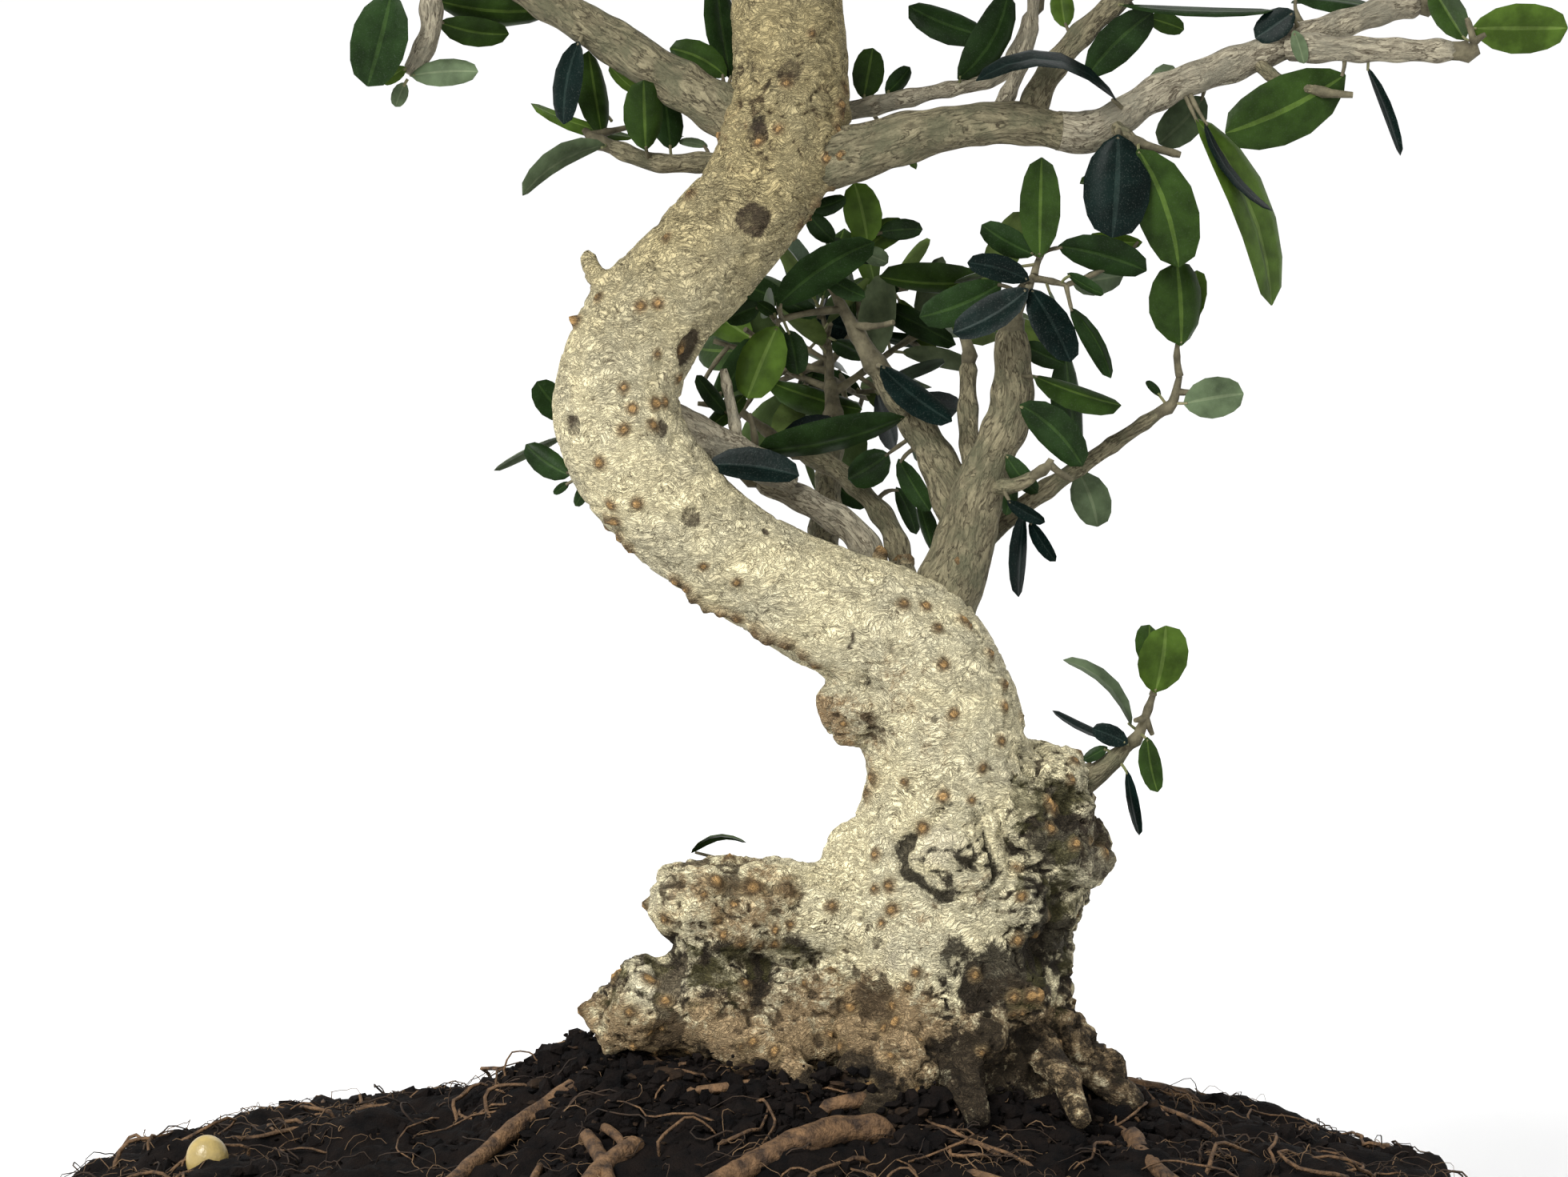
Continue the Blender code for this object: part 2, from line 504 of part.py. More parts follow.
def root_ball_solid(home, trunk_cutter):
    """The soil with the roots that lie over it, and a seat for the foot of the trunk."""
    rise = soil_unevenness(SOIL_SEED)
    soil = soil_solid(home, rise)
    roots = []
    for stations in SURFACE_ROOTS:
        route = [(x, y, soil_height(x, y) + rise(x, y) + ROOT_LIFT_SHARE * radius, radius)
                 for x, y, radius in stations]
        roots.append(tube("root", smooth_route(route, ROOT_RINGS_PER_SPAN), ROOT_SIDES, home))
    soil = joined(soil, roots, "UNION", home)
    return joined(soil, [trunk_cutter], "DIFFERENCE", home)


def tapered(points, base_radius, tip_radius):
    """Stations of a limb whose radius falls evenly along its route."""
    points = np.array(points, float)
    steps = np.linalg.norm(np.diff(points, axis=0), axis=1)
    along = np.concatenate([[0], np.cumsum(steps)]) / steps.sum()
    return np.column_stack([points, base_radius + (tip_radius - base_radius) * along])


def limb_balls(route):
    """Centres and radii of closely spaced balls that fill a limb."""
    dense = []
    for a, b in zip(route, route[1:]):
        count = max(1, int(np.linalg.norm(b[:3] - a[:3]) / BALL_SPACING))
        dense += [a + (b - a) * k / count for k in range(count)]
    return np.array([*dense, route[-1]])


def frame_of(direction):
    """Two unit vectors square to a direction and to each other."""
    aside = Vector((0, 0, 1)) if abs(direction.z) < STEEP else Vector((1, 0, 0))
    first = direction.cross(aside).normalized()
    return first, direction.cross(first).normalized()


def blade_points(leaf):
    """Sample points over a leaf's blade."""
    base, along, normal, length, width = leaf
    across = along.cross(normal)
    return [base + along * (length * share) + across * (width / 2 * side * (1 - abs(2 * share - 1)))
            for share in BLADE_SHARES for side in BLADE_SIDES]


def is_free(points, mass, limbs, margin):
    """Whether points lie in the mass's ball, on its side of every neighbour's, and clear of the limbs."""
    points = np.array([tuple(p) for p in points])
    centre = np.array(mass.centre)
    own = np.square(points - centre).sum(1) - mass.reach ** 2
    if own.max() > 0:
        return False
    for other in MASSES:
        gap = math.dist(mass.centre, other.centre)
        if other is mass or gap > mass.reach + other.reach:
            continue
        theirs = np.square(points - np.array(other.centre)).sum(1) - other.reach ** 2
        if (theirs - own).min() < 2 * gap * margin:
            return False
    apart = np.linalg.norm(points[:, None] - limbs[None, :, :3], axis=2) - limbs[None, :, 3]
    return apart.min() > margin


def crosses(leaf, leaves):
    """Whether a blade comes too close to one that is there already, away from its own root."""
    own = np.array([tuple(p) for p in blade_points(leaf)[ROOT_POINTS:]])
    for other in leaves:
        points = np.array([tuple(p) for p in blade_points(other)[ROOT_POINTS:]])
        if np.linalg.norm(own[:, None] - points[None], axis=2).min() < LEAF_APART:
            return True
    return False


def ruled_twigs(mass, start, end, rng):
    """Roots and tips of twigs set round a stem at the golden angle, the last one carrying it on."""
    axis = (end - start).normalized()
    first, second = frame_of(axis)
    for k in range(mass.twigs + 1):
        last = k == mass.twigs
        root = start.lerp(end, 1.0 if last else FIRST_TWIG + (1 - FIRST_TWIG) * (k + 0.5) / mass.twigs)
        turn = k * GOLDEN_ANGLE + rng.uniform(-TURN_PLAY, TURN_PLAY)
        aside = first * math.cos(turn) + second * math.sin(turn)
        spread = LAST_SPREAD if last else TWIG_SPREAD * rng.uniform(*SPREAD_PLAY)
        length = mass.reach * rng.uniform(*TWIG_SHARE) * (LAST_TWIG_SHARE if last else 1.0)
        yield root, root + (axis * math.cos(spread) + aside * math.sin(spread)) * length, RULED_PAIRS


def placed_twigs(mass, start, end):
    """Roots, tips and leaf pairs of twigs that run from the stem to given tips, at a forward slant."""
    axis = end - start
    for *place, pairs in mass.twigs:
        tip = Vector(place)
        foot = (tip - start).dot(axis) / axis.length_squared - FOOT_SLANT
        yield start.lerp(end, max(LOWEST_FOOT, min(1.0, foot))), tip, pairs


def leaf_wishes(root, tip, pairs, scale, rng):
    """For each leaf of a twig, the blades to try: opposite pairs, each turned a quarter from the last."""
    along = (tip - root).normalized()
    side, up = frame_of(along)
    first_turn = rng.uniform(0, math.pi)
    for node in range(pairs):
        share = LAST_PAIR - (LAST_PAIR - FIRST_PAIR) * (pairs - 1 - node) / max(pairs - 1, 1)
        lean = TIP_LEAF_LEAN if node == pairs - 1 else LEAF_LEAN
        for way in (0, math.pi):
            wishes = []
            length = scale * rng.uniform(*LEAF_LENGTH)
            width = length * rng.uniform(*LEAF_WIDTH_SHARE)
            for smaller in LEAF_TRIES:
                turn = first_turn + node * math.pi / 2 + way + rng.uniform(-LEAF_TURN_PLAY, LEAF_TURN_PLAY)
                out = side * math.cos(turn) + up * math.sin(turn)
                angle = lean + rng.uniform(-LEAF_LEAN_PLAY, LEAF_LEAN_PLAY)
                blade = along * math.cos(angle) + out * math.sin(angle)
                normal = (along - blade * along.dot(blade)).normalized()
                wishes.append((root.lerp(tip, share), blade, normal, length * smaller, width * smaller))
            yield wishes


def grown(mass, stem, limbs):
    """Twigs and leaves of one mass that keep to its space, by the seeded rule."""
    rng = random.Random(mass.seed)
    start, end = Vector(stem[1][:3]), Vector(stem[2][:3])
    ruled = isinstance(mass.twigs, int)
    wanted = ruled_twigs(mass, start, end, rng) if ruled else placed_twigs(mass, start, end)
    twigs, leaves = [], []
    for root, tip, pairs in wanted:
        for shorter in TWIG_TRIES:
            short_tip = root.lerp(tip, shorter)
            checks = [root.lerp(short_tip, share) for share in TWIG_CHECKS]
            if is_free(checks, mass, limbs, LEAF_CLEAR + TWIG_RADIUS):
                twigs.append((root, short_tip))
                break
        else:
            continue
        for wishes in leaf_wishes(*twigs[-1], pairs, mass.leaf_scale, rng):
            for leaf in wishes:
                if is_free(blade_points(leaf), mass, limbs, LEAF_CLEAR) and not crosses(leaf, leaves):
                    leaves.append(leaf)
                    break
    return twigs, leaves


def twig_solid(root, tip, home):
    """A closed, three-sided, tapering twig between two points."""
    along = tip - root
    turn = along.to_track_quat("Z", "Y").to_matrix().to_4x4()
    bm = bmesh.new()
    bmesh.ops.create_cone(bm, cap_ends=True, segments=TWIG_SIDES, radius1=TWIG_RADIUS,
                          radius2=TWIG_TIP_RADIUS, depth=along.length,
                          matrix=Matrix.Translation((root + tip) / 2) @ turn)
    return from_bmesh("twig", bm, home)


def leaf_solid(leaf, home):
    """A blade: a flattened four-sided double cone, its root sunk into the twig."""
    base, along, normal, length, width = leaf
    half_length = (length + LEAF_ROOT_SUNK) / 2
    half_thick = length * LEAF_THICK_SHARE / 2
    half_sizes = ((along, half_length), (along.cross(normal), width / 2), (normal, half_thick))
    shape = Matrix.Translation(base + along * (half_length - LEAF_ROOT_SUNK))
    for column, (axis, size) in enumerate(half_sizes):
        shape.col[column] = (*(axis * size), 0.0)
    bm = bmesh.new()
    bmesh.ops.create_uvsphere(bm, u_segments=LEAF_SIDES, v_segments=2, radius=1.0, matrix=shape)
    bmesh.ops.recalc_face_normals(bm, faces=bm.faces)
    return from_bmesh("leaf", bm, home)


def foliage_solid(mass, stem, limbs, home):
    """One mass of foliage, its stem, twigs and leaves fused into one closed solid."""
    twigs, leaves = grown(mass, stem, limbs)
    base = tube(mass.name, stem, STEM_SIDES, home)
    others = [twig_solid(root, tip, home) for root, tip in twigs]
    others += [leaf_solid(leaf, home) for leaf in leaves]
    return joined(base, others, "UNION", home)


def limb_tip(route):
    """The point, direction and radius at the end of a route."""
    a, b = Vector(route[-2][:3]), Vector(route[-1][:3])
    return b, (b - a).normalized(), route[-1][3]


def stem_of(mass, routes):
    """Stations of the mass's stem, which goes straight on from its limb's tip and then turns."""
    tip, direction, radius = limb_tip(routes[mass.limb])
    start = tip + direction * CLEAR
    knee = start + direction * STEM_KNEE
    knee_radius = radius * STEM_SHARE * KNEE_SHARE
    return np.array([(*start, radius * STEM_SHARE), (*knee, knee_radius), (*mass.stem_end, STEM_TIP_RADIUS)])


def finish(obj, finish_material):
    """Gives an object its one material and smooth shading with sharp creases."""
    obj.data.materials.clear()
    obj.data.materials.append(finish_material)
    obj.data.shade_smooth()
    obj.data.set_sharp_from_angle(angle=CREASE_ANGLE)


def build_boughs(home, bark, routes):
    """One tapering tube for each bough, cut clear of what it grows from; adds each to routes."""
    for name, parent, base_radius, tip_radius, points in BOUGHS:
        routes[name] = smooth_route(tapered(points, base_radius, tip_radius), BOUGH_RINGS_PER_SPAN)
        sides = SLIM_SIDES if base_radius < SLIM_RADIUS else BOUGH_SIDES
        bough = tube(name, routes[name], sides, home)
        if parent == "trunk":
            cutter = trunk_solid("cutter", home, CLEAR)
        else:
            cutter = tube("cutter", routes[parent], BOUGH_SIDES, home, CLEAR)
        finish(joined(bough, [cutter], "DIFFERENCE", home), bark)


def build_foliage(home, leaf_material, routes):
    """Every mass of foliage, kept clear of all the limbs and of the other masses' stems."""
    branch_routes = [smooth_route(stations, BRANCH_RINGS_PER_SPAN) for stations in TRUNK_BRANCHES]
    burl_balls = np.array([(*centre, max(sizes)) for centre, sizes in BURLS])
    limbs = np.vstack([limb_balls(route) for route in (*routes.values(), *branch_routes)] + [burl_balls])
    stems = {mass.name: stem_of(mass, routes) for mass in MASSES}
    for mass in MASSES:
        others = [limb_balls(stem) for name, stem in stems.items() if name != mass.name]
        finish(foliage_solid(mass, stems[mass.name], np.vstack([limbs, *others]), home), leaf_material)


def main():
    """Builds the tree: trunk, root ball, boughs and masses of foliage."""
    clear_scene()
    home = collection("wild_olive_bonsai")
    finish(trunk_solid("trunk", home), material("bark", *BARK))
    soil = root_ball_solid(home, trunk_solid("trunk_cutter", home, CLEAR))
    finish(soil, material("soil", *SOIL))
    routes = {"trunk": smooth_route(TRUNK, TRUNK_RINGS_PER_SPAN)}
    build_boughs(home, material("bough_bark", *BOUGH_BARK), routes)
    build_foliage(home, material("leaf", *LEAF), routes)


main()
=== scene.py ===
"""The wild olive bonsai, dressed: barked trunk and boughs, twigs, leaves, root ball and roots.

Metres, +Z up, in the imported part's own frame: +X is the right of the tree's best side, which faces -Y.
Tables of measured places are in millimetres.
"""

import json
import logging
import math
import random
from collections.abc import Iterator, Sequence
from dataclasses import dataclass, field
from enum import Enum

import bpy
import numpy as np
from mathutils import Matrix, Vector

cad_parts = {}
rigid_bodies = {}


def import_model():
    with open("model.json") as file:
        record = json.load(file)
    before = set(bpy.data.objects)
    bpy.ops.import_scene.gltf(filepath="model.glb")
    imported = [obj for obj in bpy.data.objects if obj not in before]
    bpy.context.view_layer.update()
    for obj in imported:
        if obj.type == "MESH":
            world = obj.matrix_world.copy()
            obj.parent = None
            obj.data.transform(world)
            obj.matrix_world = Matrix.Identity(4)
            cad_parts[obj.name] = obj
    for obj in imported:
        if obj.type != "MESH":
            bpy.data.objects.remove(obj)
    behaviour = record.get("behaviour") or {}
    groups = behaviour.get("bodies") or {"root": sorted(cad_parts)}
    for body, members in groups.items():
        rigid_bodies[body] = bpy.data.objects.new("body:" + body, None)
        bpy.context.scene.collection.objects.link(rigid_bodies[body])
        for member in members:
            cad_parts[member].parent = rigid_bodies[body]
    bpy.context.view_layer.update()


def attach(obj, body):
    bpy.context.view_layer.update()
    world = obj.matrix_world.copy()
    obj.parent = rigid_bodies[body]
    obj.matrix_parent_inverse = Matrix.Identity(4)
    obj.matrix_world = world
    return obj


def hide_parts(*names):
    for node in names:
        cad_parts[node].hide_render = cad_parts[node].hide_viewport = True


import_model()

LOG = logging.getLogger("wild_olive")
Array = np.ndarray
Socket = bpy.types.NodeSocket
Material = bpy.types.Material
Thing = bpy.types.Object
Row = tuple[float, ...]
Colour = tuple[float, float, float]
MM = 0.001
NO_QUADS, NO_TRIANGLES = np.zeros((0, 4), int), np.zeros((0, 3), int)


# ---- fields and routes


def smooth_route(stations: Sequence[Row] | Array, per_span: int) -> Array:
    """A Catmull-Rom curve: each span is the cubic that leaves and reaches its ends along their neighbours' chord.

    Args:
        stations: Rows of x, y, z and any further columns, such as a radius.
        per_span: How many points each span gets.

    Returns:
        Points along the curve, with the same columns.
    """
    p = np.array(stations, float)
    p = np.vstack([2 * p[0] - p[1], p, 2 * p[-1] - p[-2]])
    t = (np.arange(per_span) / per_span)[None, :, None]
    a, b, c, d = (p[k:len(p) - 3 + k, None, :] for k in range(4))
    spans = 0.5 * (2 * b + (c - a) * t + (2 * a - 5 * b + 4 * c - d) * t ** 2 + (3 * b - a - 3 * c + d) * t ** 3)
    return np.vstack([spans.reshape(-1, p.shape[1]), p[-2]])


def lengths_along(route: Array) -> Array:
    """Distance from the start to each point: the running sum of the steps' lengths."""
    return np.concatenate([[0.0], np.cumsum(np.linalg.norm(np.diff(route[:, :3], axis=0), axis=1))])


def resampled(route: Array, spacing: float) -> Array:
    """A route at even spacing: every column interpolated over the distance along it.

    Args:
        route: Rows of x, y, z and further columns.
        spacing: Wanted distance between points.

    Returns:
        The evenly spaced rows, both ends kept.
    """
    along = lengths_along(route)
    wanted = np.linspace(0.0, along[-1], max(3, int(along[-1] / spacing) + 1))
    return np.column_stack([np.interp(wanted, along, column) for column in route.T])


def hashed(cells: Array, seed: int) -> Array:
    """A fixed pseudo-random number from 0 to 1 for each whole-numbered cell: its corners mixed by large primes.

    Args:
        cells: Whole numbers, the last axis holding x, y and z.
        seed: Picks one of many such patterns.

    Returns:
        One number for each cell.
    """
    mixed = cells[..., 0] * 73856093 ^ cells[..., 1] * 19349663 ^ cells[..., 2] * 83492791 ^ (seed * 2654435 + 77)
    mixed = (mixed ^ (mixed >> 13)) * 1274126177 & 0x7FFFFFFF
    return ((mixed ^ (mixed >> 15)) & 0xFFFFFF) / 0xFFFFFF


def value_noise(points: Array, size: float, seed: int) -> Array:
    """Smooth noise from -1 to 1: the cells' hashed numbers blended by smoothstep weights between the corners.

    Args:
        points: Places in metres.
        size: Edge of one cell.
        seed: Picks the pattern.

    Returns:
        One number for each place.
    """
    scaled = points / size
    base = np.floor(scaled).astype(np.int64)
    part = scaled - base
    part = part * part * (3 - 2 * part)
    total = np.zeros(points.shape[:-1])
    for corner in np.ndindex(2, 2, 2):
        weight = np.prod(np.where(np.array(corner) == 1, part, 1 - part), axis=-1)
        total += weight * hashed(base + np.array(corner), seed)
    return 2 * total - 1


def layered_noise(points: Array, size: float, seed: int, layers: int = 3) -> Array:
    """Sum of value noises, each half the size and half the strength of the one before.

    Args:
        points: Places in metres.
        size: Cell edge of the first layer.
        seed: Picks the pattern.
        layers: How many are added.

    Returns:
        One number for each place, about -1.5 to 1.5.
    """
    return sum(value_noise(points, size / 2 ** k, seed + 31 * k) / 2 ** k for k in range(layers))


def cell_field(points: Array, size: float, seed: int) -> tuple[Array, Array]:
    """Distances to the nearest and second nearest of one scattered spot to a cell, in cells.

    Args:
        points: Places in metres.
        size: Edge of one cell.
        seed: Picks the spots.

    Returns:
        The nearest distance, and how much further the second is, which is 0 on the cracks between spots.
    """
    scaled = points / size
    base = np.floor(scaled).astype(np.int64)
    first = np.full(points.shape[:-1], 9.0)
    second = first.copy()
    for step in np.ndindex(3, 3, 3):
        cells = base + np.array(step) - 1
        spots = cells + np.stack([hashed(cells, seed + k) for k in range(3)], axis=-1)
        gap = np.linalg.norm(scaled - spots, axis=-1)
        second = np.minimum(second, np.maximum(first, gap))
        first = np.minimum(first, gap)
    return first, second - first


def eased(values: Array, low: float, high: float) -> Array:
    """Smoothstep: 0 below low, 1 above high, 3t2 - 2t3 between; low may be the larger, which turns it over."""
    t = np.clip((values - low) / (high - low), 0.0, 1.0)
    return t * t * (3 - 2 * t)


def unit(vectors: Array) -> Array:
    """Vectors divided by their length."""
    return vectors / np.maximum(np.linalg.norm(vectors, axis=-1, keepdims=True), 1e-12)


def carried_frames(paths: Array) -> tuple[Array, Array]:
    """Two directions square to each path, the first carried along by dropping its part along each new direction.

    Args:
        paths: Points of several paths, shaped (paths, stations, 3).

    Returns:
        The side and up directions at every station.
    """
    along = unit(np.gradient(paths, axis=1))
    start = along[:, 0]
    helper = np.where(np.abs(start[:, 2:3]) < 0.9, [[0.0, 0.0, 1.0]], [[1.0, 0.0, 0.0]])
    side = unit(np.cross(helper, start))
    sides = []
    for k in range(paths.shape[1]):
        side = unit(side - along[:, k] * np.sum(side * along[:, k], axis=1, keepdims=True))
        sides.append(side)
    held = np.stack(sides, axis=1)
    return held, np.cross(along, held)


# ---- meshes


@dataclass
class Surface:
    """A mesh in the making: points, four- and three-cornered faces and each face's material number."""

    points: Array
    quads: Array
    triangles: Array
    quad_slots: Array
    triangle_slots: Array

    @classmethod
    def merged(cls, surfaces: Sequence["Surface"]) -> "Surface":
        """All of several surfaces as one, each one's corner numbers moved past the points before it."""
        starts = np.cumsum([0] + [len(s.points) for s in surfaces[:-1]])
        return cls(
            np.vstack([s.points for s in surfaces]),
            np.vstack([s.quads + k for s, k in zip(surfaces, starts)]),
            np.vstack([s.triangles + k for s, k in zip(surfaces, starts)]),
            np.concatenate([s.quad_slots for s in surfaces]),
            np.concatenate([s.triangle_slots for s in surfaces]),
        )

    @classmethod
    def plain(cls, points: Array, quads: Array = NO_QUADS, triangles: Array = NO_TRIANGLES) -> "Surface":
        """A surface of one material."""
        return cls(points, quads, triangles, np.zeros(len(quads), int), np.zeros(len(triangles), int))

    def to_object(self, name: str, finishes: Sequence[Material], crease: float = 180.0) -> Thing:
        """Puts the arrays into a smooth-shaded mesh object at the origin.

        Args:
            name: Name of the piece.
            finishes: Its materials, in the order of the material numbers.
            crease: Edges sharper than this many degrees keep a hard crease.

        Returns:
            The object, in the scene.
        """
        mesh = bpy.data.meshes.new(name)
        corners = np.concatenate([self.quads.ravel(), self.triangles.ravel()])
        starts = np.concatenate([np.arange(len(self.quads)) * 4, self.quads.size + np.arange(len(self.triangles)) * 3])
        slots = np.concatenate([self.quad_slots, self.triangle_slots])
        mesh.vertices.add(len(self.points))
        mesh.loops.add(len(corners))
        mesh.polygons.add(len(starts))
        for items, key, values, kind in ((mesh.vertices, "co", self.points.ravel(), np.float32),
                                         (mesh.loops, "vertex_index", corners, np.int32),
                                         (mesh.polygons, "loop_start", starts, np.int32),
                                         (mesh.polygons, "material_index", slots, np.int32)):
            items.foreach_set(key, values.astype(kind))
        mesh.update(calc_edges=True)
        mesh.validate()
        for finish in finishes:
            mesh.materials.append(finish)
        mesh.shade_smooth()
        if crease < 180.0:
            mesh.set_sharp_from_angle(angle=math.radians(crease))
        made = bpy.data.objects.new(name, mesh)
        bpy.context.scene.collection.objects.link(made)
        return made


def swept(paths: Array, rings: Array, sides: Array, ups: Array, ring_slots: Sequence[int] | None = None) -> Surface:
    """Closed tubes: point = path + across * side + height * up, with a pole closing each end.

    Args:
        paths: Centre points, shaped (tubes, stations, 3).
        rings: Each ring's across and height, shaped (tubes, stations, corners, 2), turning from side to up.
        sides: Side directions, shaped as paths.
        ups: Up directions, shaped as paths.
        ring_slots: Material number of each strip round the ring, 0 where left out.

    Returns:
        All the tubes as one surface, faces outwards.
    """
    count, stations, corners = rings.shape[:3]
    body = paths[:, :, None] + rings[..., :1] * sides[:, :, None] + rings[..., 1:] * ups[:, :, None]
    points = np.concatenate([body.reshape(count, -1, 3), paths[:, :1], paths[:, -1:]], axis=1)
    tube_starts = (np.arange(count) * (stations * corners + 2))[:, None, None]
    station, corner = np.arange(stations - 1)[:, None], np.arange(corners)[None, :]
    beside = (corner + 1) % corners
    quad = np.stack([station * corners + corner, station * corners + beside,
                     (station + 1) * corners + beside, (station + 1) * corners + corner], axis=-1).reshape(-1, 4)
    last = (stations - 1) * corners
    corner, beside = corner[0], beside[0]
    base = np.stack([np.full(corners, stations * corners), beside, corner], axis=-1)
    tip = np.stack([np.full(corners, stations * corners + 1), last + corner, last + beside], axis=-1)
    triangle = np.vstack([base, tip])
    strips = np.zeros(corners, int) if ring_slots is None else np.array(ring_slots)
    return Surface(
        points.reshape(-1, 3),
        (quad[None] + tube_starts).reshape(-1, 4),
        (triangle[None] + tube_starts).reshape(-1, 3),
        np.tile(np.tile(strips, stations - 1), count),
        np.tile(np.tile(strips, 2), count),
    )


def tubes(paths: Array, radii: Array, corners: int) -> Surface:
    """Round tubes: the ring is radius times cosine and sine of the turn.

    Args:
        paths: Centre points, shaped (tubes, stations, 3).
        radii: Radii shaped (tubes, stations), or (tubes, stations, corners) where they vary round the ring.
        corners: How many corners each ring has.

    Returns:
        All the tubes as one surface.
    """
    turn = turns_of(corners)
    if radii.ndim == 2:
        radii = radii[:, :, None]
    rings = np.stack([radii * np.cos(turn), radii * np.sin(turn)], axis=-1)
    return swept(paths, rings, *carried_frames(paths))


def turns_of(corners: int) -> Array:
    """The angles of a ring's corners."""
    return np.arange(corners) * math.tau / corners


def level_rings(path: Array, rings: Array) -> Surface:
    """A closed form of level rings, across along +X and height along +Y, about a path that climbs."""
    side, up = (np.broadcast_to(np.array(axis), (1, *path.shape)) for axis in ((1.0, 0.0, 0.0), (0.0, 1.0, 0.0)))
    return swept(path[None], rings, side, up)


def ball(centre: Row, half_sizes: Row, span: Row = (-1.5, 1.5), corners: int = 20) -> Surface:
    """A ball stretched three ways: rings of the half-sizes times the cosine of the height's angle."""
    angle, turn = np.linspace(*span, 14), turns_of(corners)
    path = np.array(centre) + np.outer(np.sin(angle), [0.0, 0.0, half_sizes[2]])
    ring = np.stack([half_sizes[0] * np.cos(turn), half_sizes[1] * np.sin(turn)], axis=-1)
    return level_rings(path, ring[None, None] * np.cos(angle)[None, :, None, None])


def rounded_ends(route: Array, rings: int = 4, bulge: float = 1.0) -> Array:
    """A route whose ends swell as half balls: radius r cos(a) at bulge r sin(a) beyond each end.

    Args:
        route: Rows of x, y, z and radius.
        rings: Rings in each half ball.
        bulge: How far the ends stand out against a half ball.

    Returns:
        The longer route, its first and last radius almost 0.
    """
    parts = [route]
    angle = np.linspace(0.0, math.pi / 2 - 0.05, rings + 1)[1:, None]
    for end, inner in ((-1, -2), (0, 1)):
        out = unit(route[end, :3] - route[inner, :3])[None]
        radius = route[end, 3]
        cap = np.hstack([route[end, :3] + out * radius * bulge * np.sin(angle), radius * np.cos(angle)])
        parts = [*parts, cap] if end == -1 else [cap[::-1], *parts]
    return np.vstack(parts)


# ---- finishes


class Sheet:
    """A material's node sheet, with short ways to lay and join its nodes."""

    def __init__(self, name: str, roughness: float, specular: float) -> None:
        """Starts a material whose shader has an even roughness and specular level."""
        self.material = bpy.data.materials.new(name)
        self.material.use_nodes = True
        self.nodes = self.material.node_tree.nodes
        self.shader = self.nodes["Principled BSDF"]
        self.feed(self.shader, {"Roughness": roughness, "Specular IOR Level": specular})

    def feed(self, node: bpy.types.Node, values: dict[str | int, object]) -> bpy.types.Node:
        """Links outputs to a node's sockets, or sets the sockets to plain values; gives the node back."""
        for key, value in values.items():
            socket = node.inputs[key]
            if isinstance(value, Socket):
                self.material.node_tree.links.new(value, socket)
            else:
                socket.default_value = (*value, 1.0) if socket.type == "RGBA" else value
        return node

    def laid(self, kind: str, values: dict[str | int, object], output: str | int = 0, **settings: object) -> Socket:
        """Lays a node of a kind, with its inputs and settings, and gives one of its outputs."""
        node = self.nodes.new(f"ShaderNode{kind}")
        for key, value in settings.items():
            setattr(node, key, value)
        return self.feed(node, values).outputs[output]

    def place(self) -> Socket:
        """The point's own place on the object, in metres."""
        return self.laid("TexCoord", {}, "Object")

    def carried(self, attribute: str, output: str = "Vector") -> Socket:
        """A value that the mesh's points carry."""
        return self.laid("Attribute", {}, output, attribute_name=attribute)

    def noise(self, place: Socket, size: float, detail: float = 3.0, roughness: float = 0.6) -> Socket:
        """Cloudy noise about 0.5, whose blotches are about size across."""
        return self.laid("TexNoise", {"Vector": place, "Scale": 1.0 / size, "Detail": detail, "Roughness": roughness})

    def warped(self, place: Socket, size: float, amount: float) -> Socket:
        """Places pushed about by a coloured noise of that size, by up to half the amount."""
        push = self.laid("TexNoise", {"Vector": place, "Scale": 1.0 / size}, "Color")
        return self.laid("VectorMath", {0: push, 1: (amount,) * 3, 2: place}, operation="MULTIPLY_ADD")

    def stretched(self, place: Socket, factors: Row) -> Socket:
        """Places whose three numbers are each multiplied by a factor."""
        return self.laid("VectorMath", {0: place, 1: factors}, operation="MULTIPLY")

    def creases(self, place: Socket, size: float, width: float) -> Socket:
        """Thin winding lines where cloudy noise crosses its middle value: 1 on the line, 0 beyond width."""
        middle = self.sum_of(self.noise(place, size, 3.0, 0.55), 0.5, "SUBTRACT")
        return self.ranged(self.sum_of(middle, 0.0, "ABSOLUTE"), 0.0, width, 1.0, 0.0)

    def ranged(self, value: Socket, low: float, high: float, bottom: float = 0.0, top: float = 1.0) -> Socket:
        """Value carried from low..high to bottom..top and held there."""
        return self.laid("MapRange", {"Value": value, "From Min": low, "From Max": high, "To Min": bottom,
                                      "To Max": top})

    def sum_of(self, first: Socket, second: object, operation: str = "ADD") -> Socket:
        """Two numbers put together by a plain operation."""
        return self.laid("Math", {0: first, 1: second}, operation=operation)

    def times(self, first: Socket, second: object) -> Socket:
        """Two numbers multiplied."""
        return self.sum_of(first, second, "MULTIPLY")

    def mixed(self, share: object, first: object, second: object, way: str = "MIX") -> Socket:
        """The first colour giving way to the second by share."""
        return self.laid("Mix", {0: share, 6: first, 7: second}, 2, data_type="RGBA", blend_type=way)

    def bumped(self, height: Socket, depth: float) -> None:
        """Joins a bump of that depth in metres to the shader."""
        self.feed(self.shader, {"Normal": self.laid("Bump", {"Distance": depth, "Height": height})})

    def coloured(self, colour: object) -> Material:
        """Gives the shader its colour and returns the finished material."""
        self.feed(self.shader, {"Base Color": colour})
        return self.material


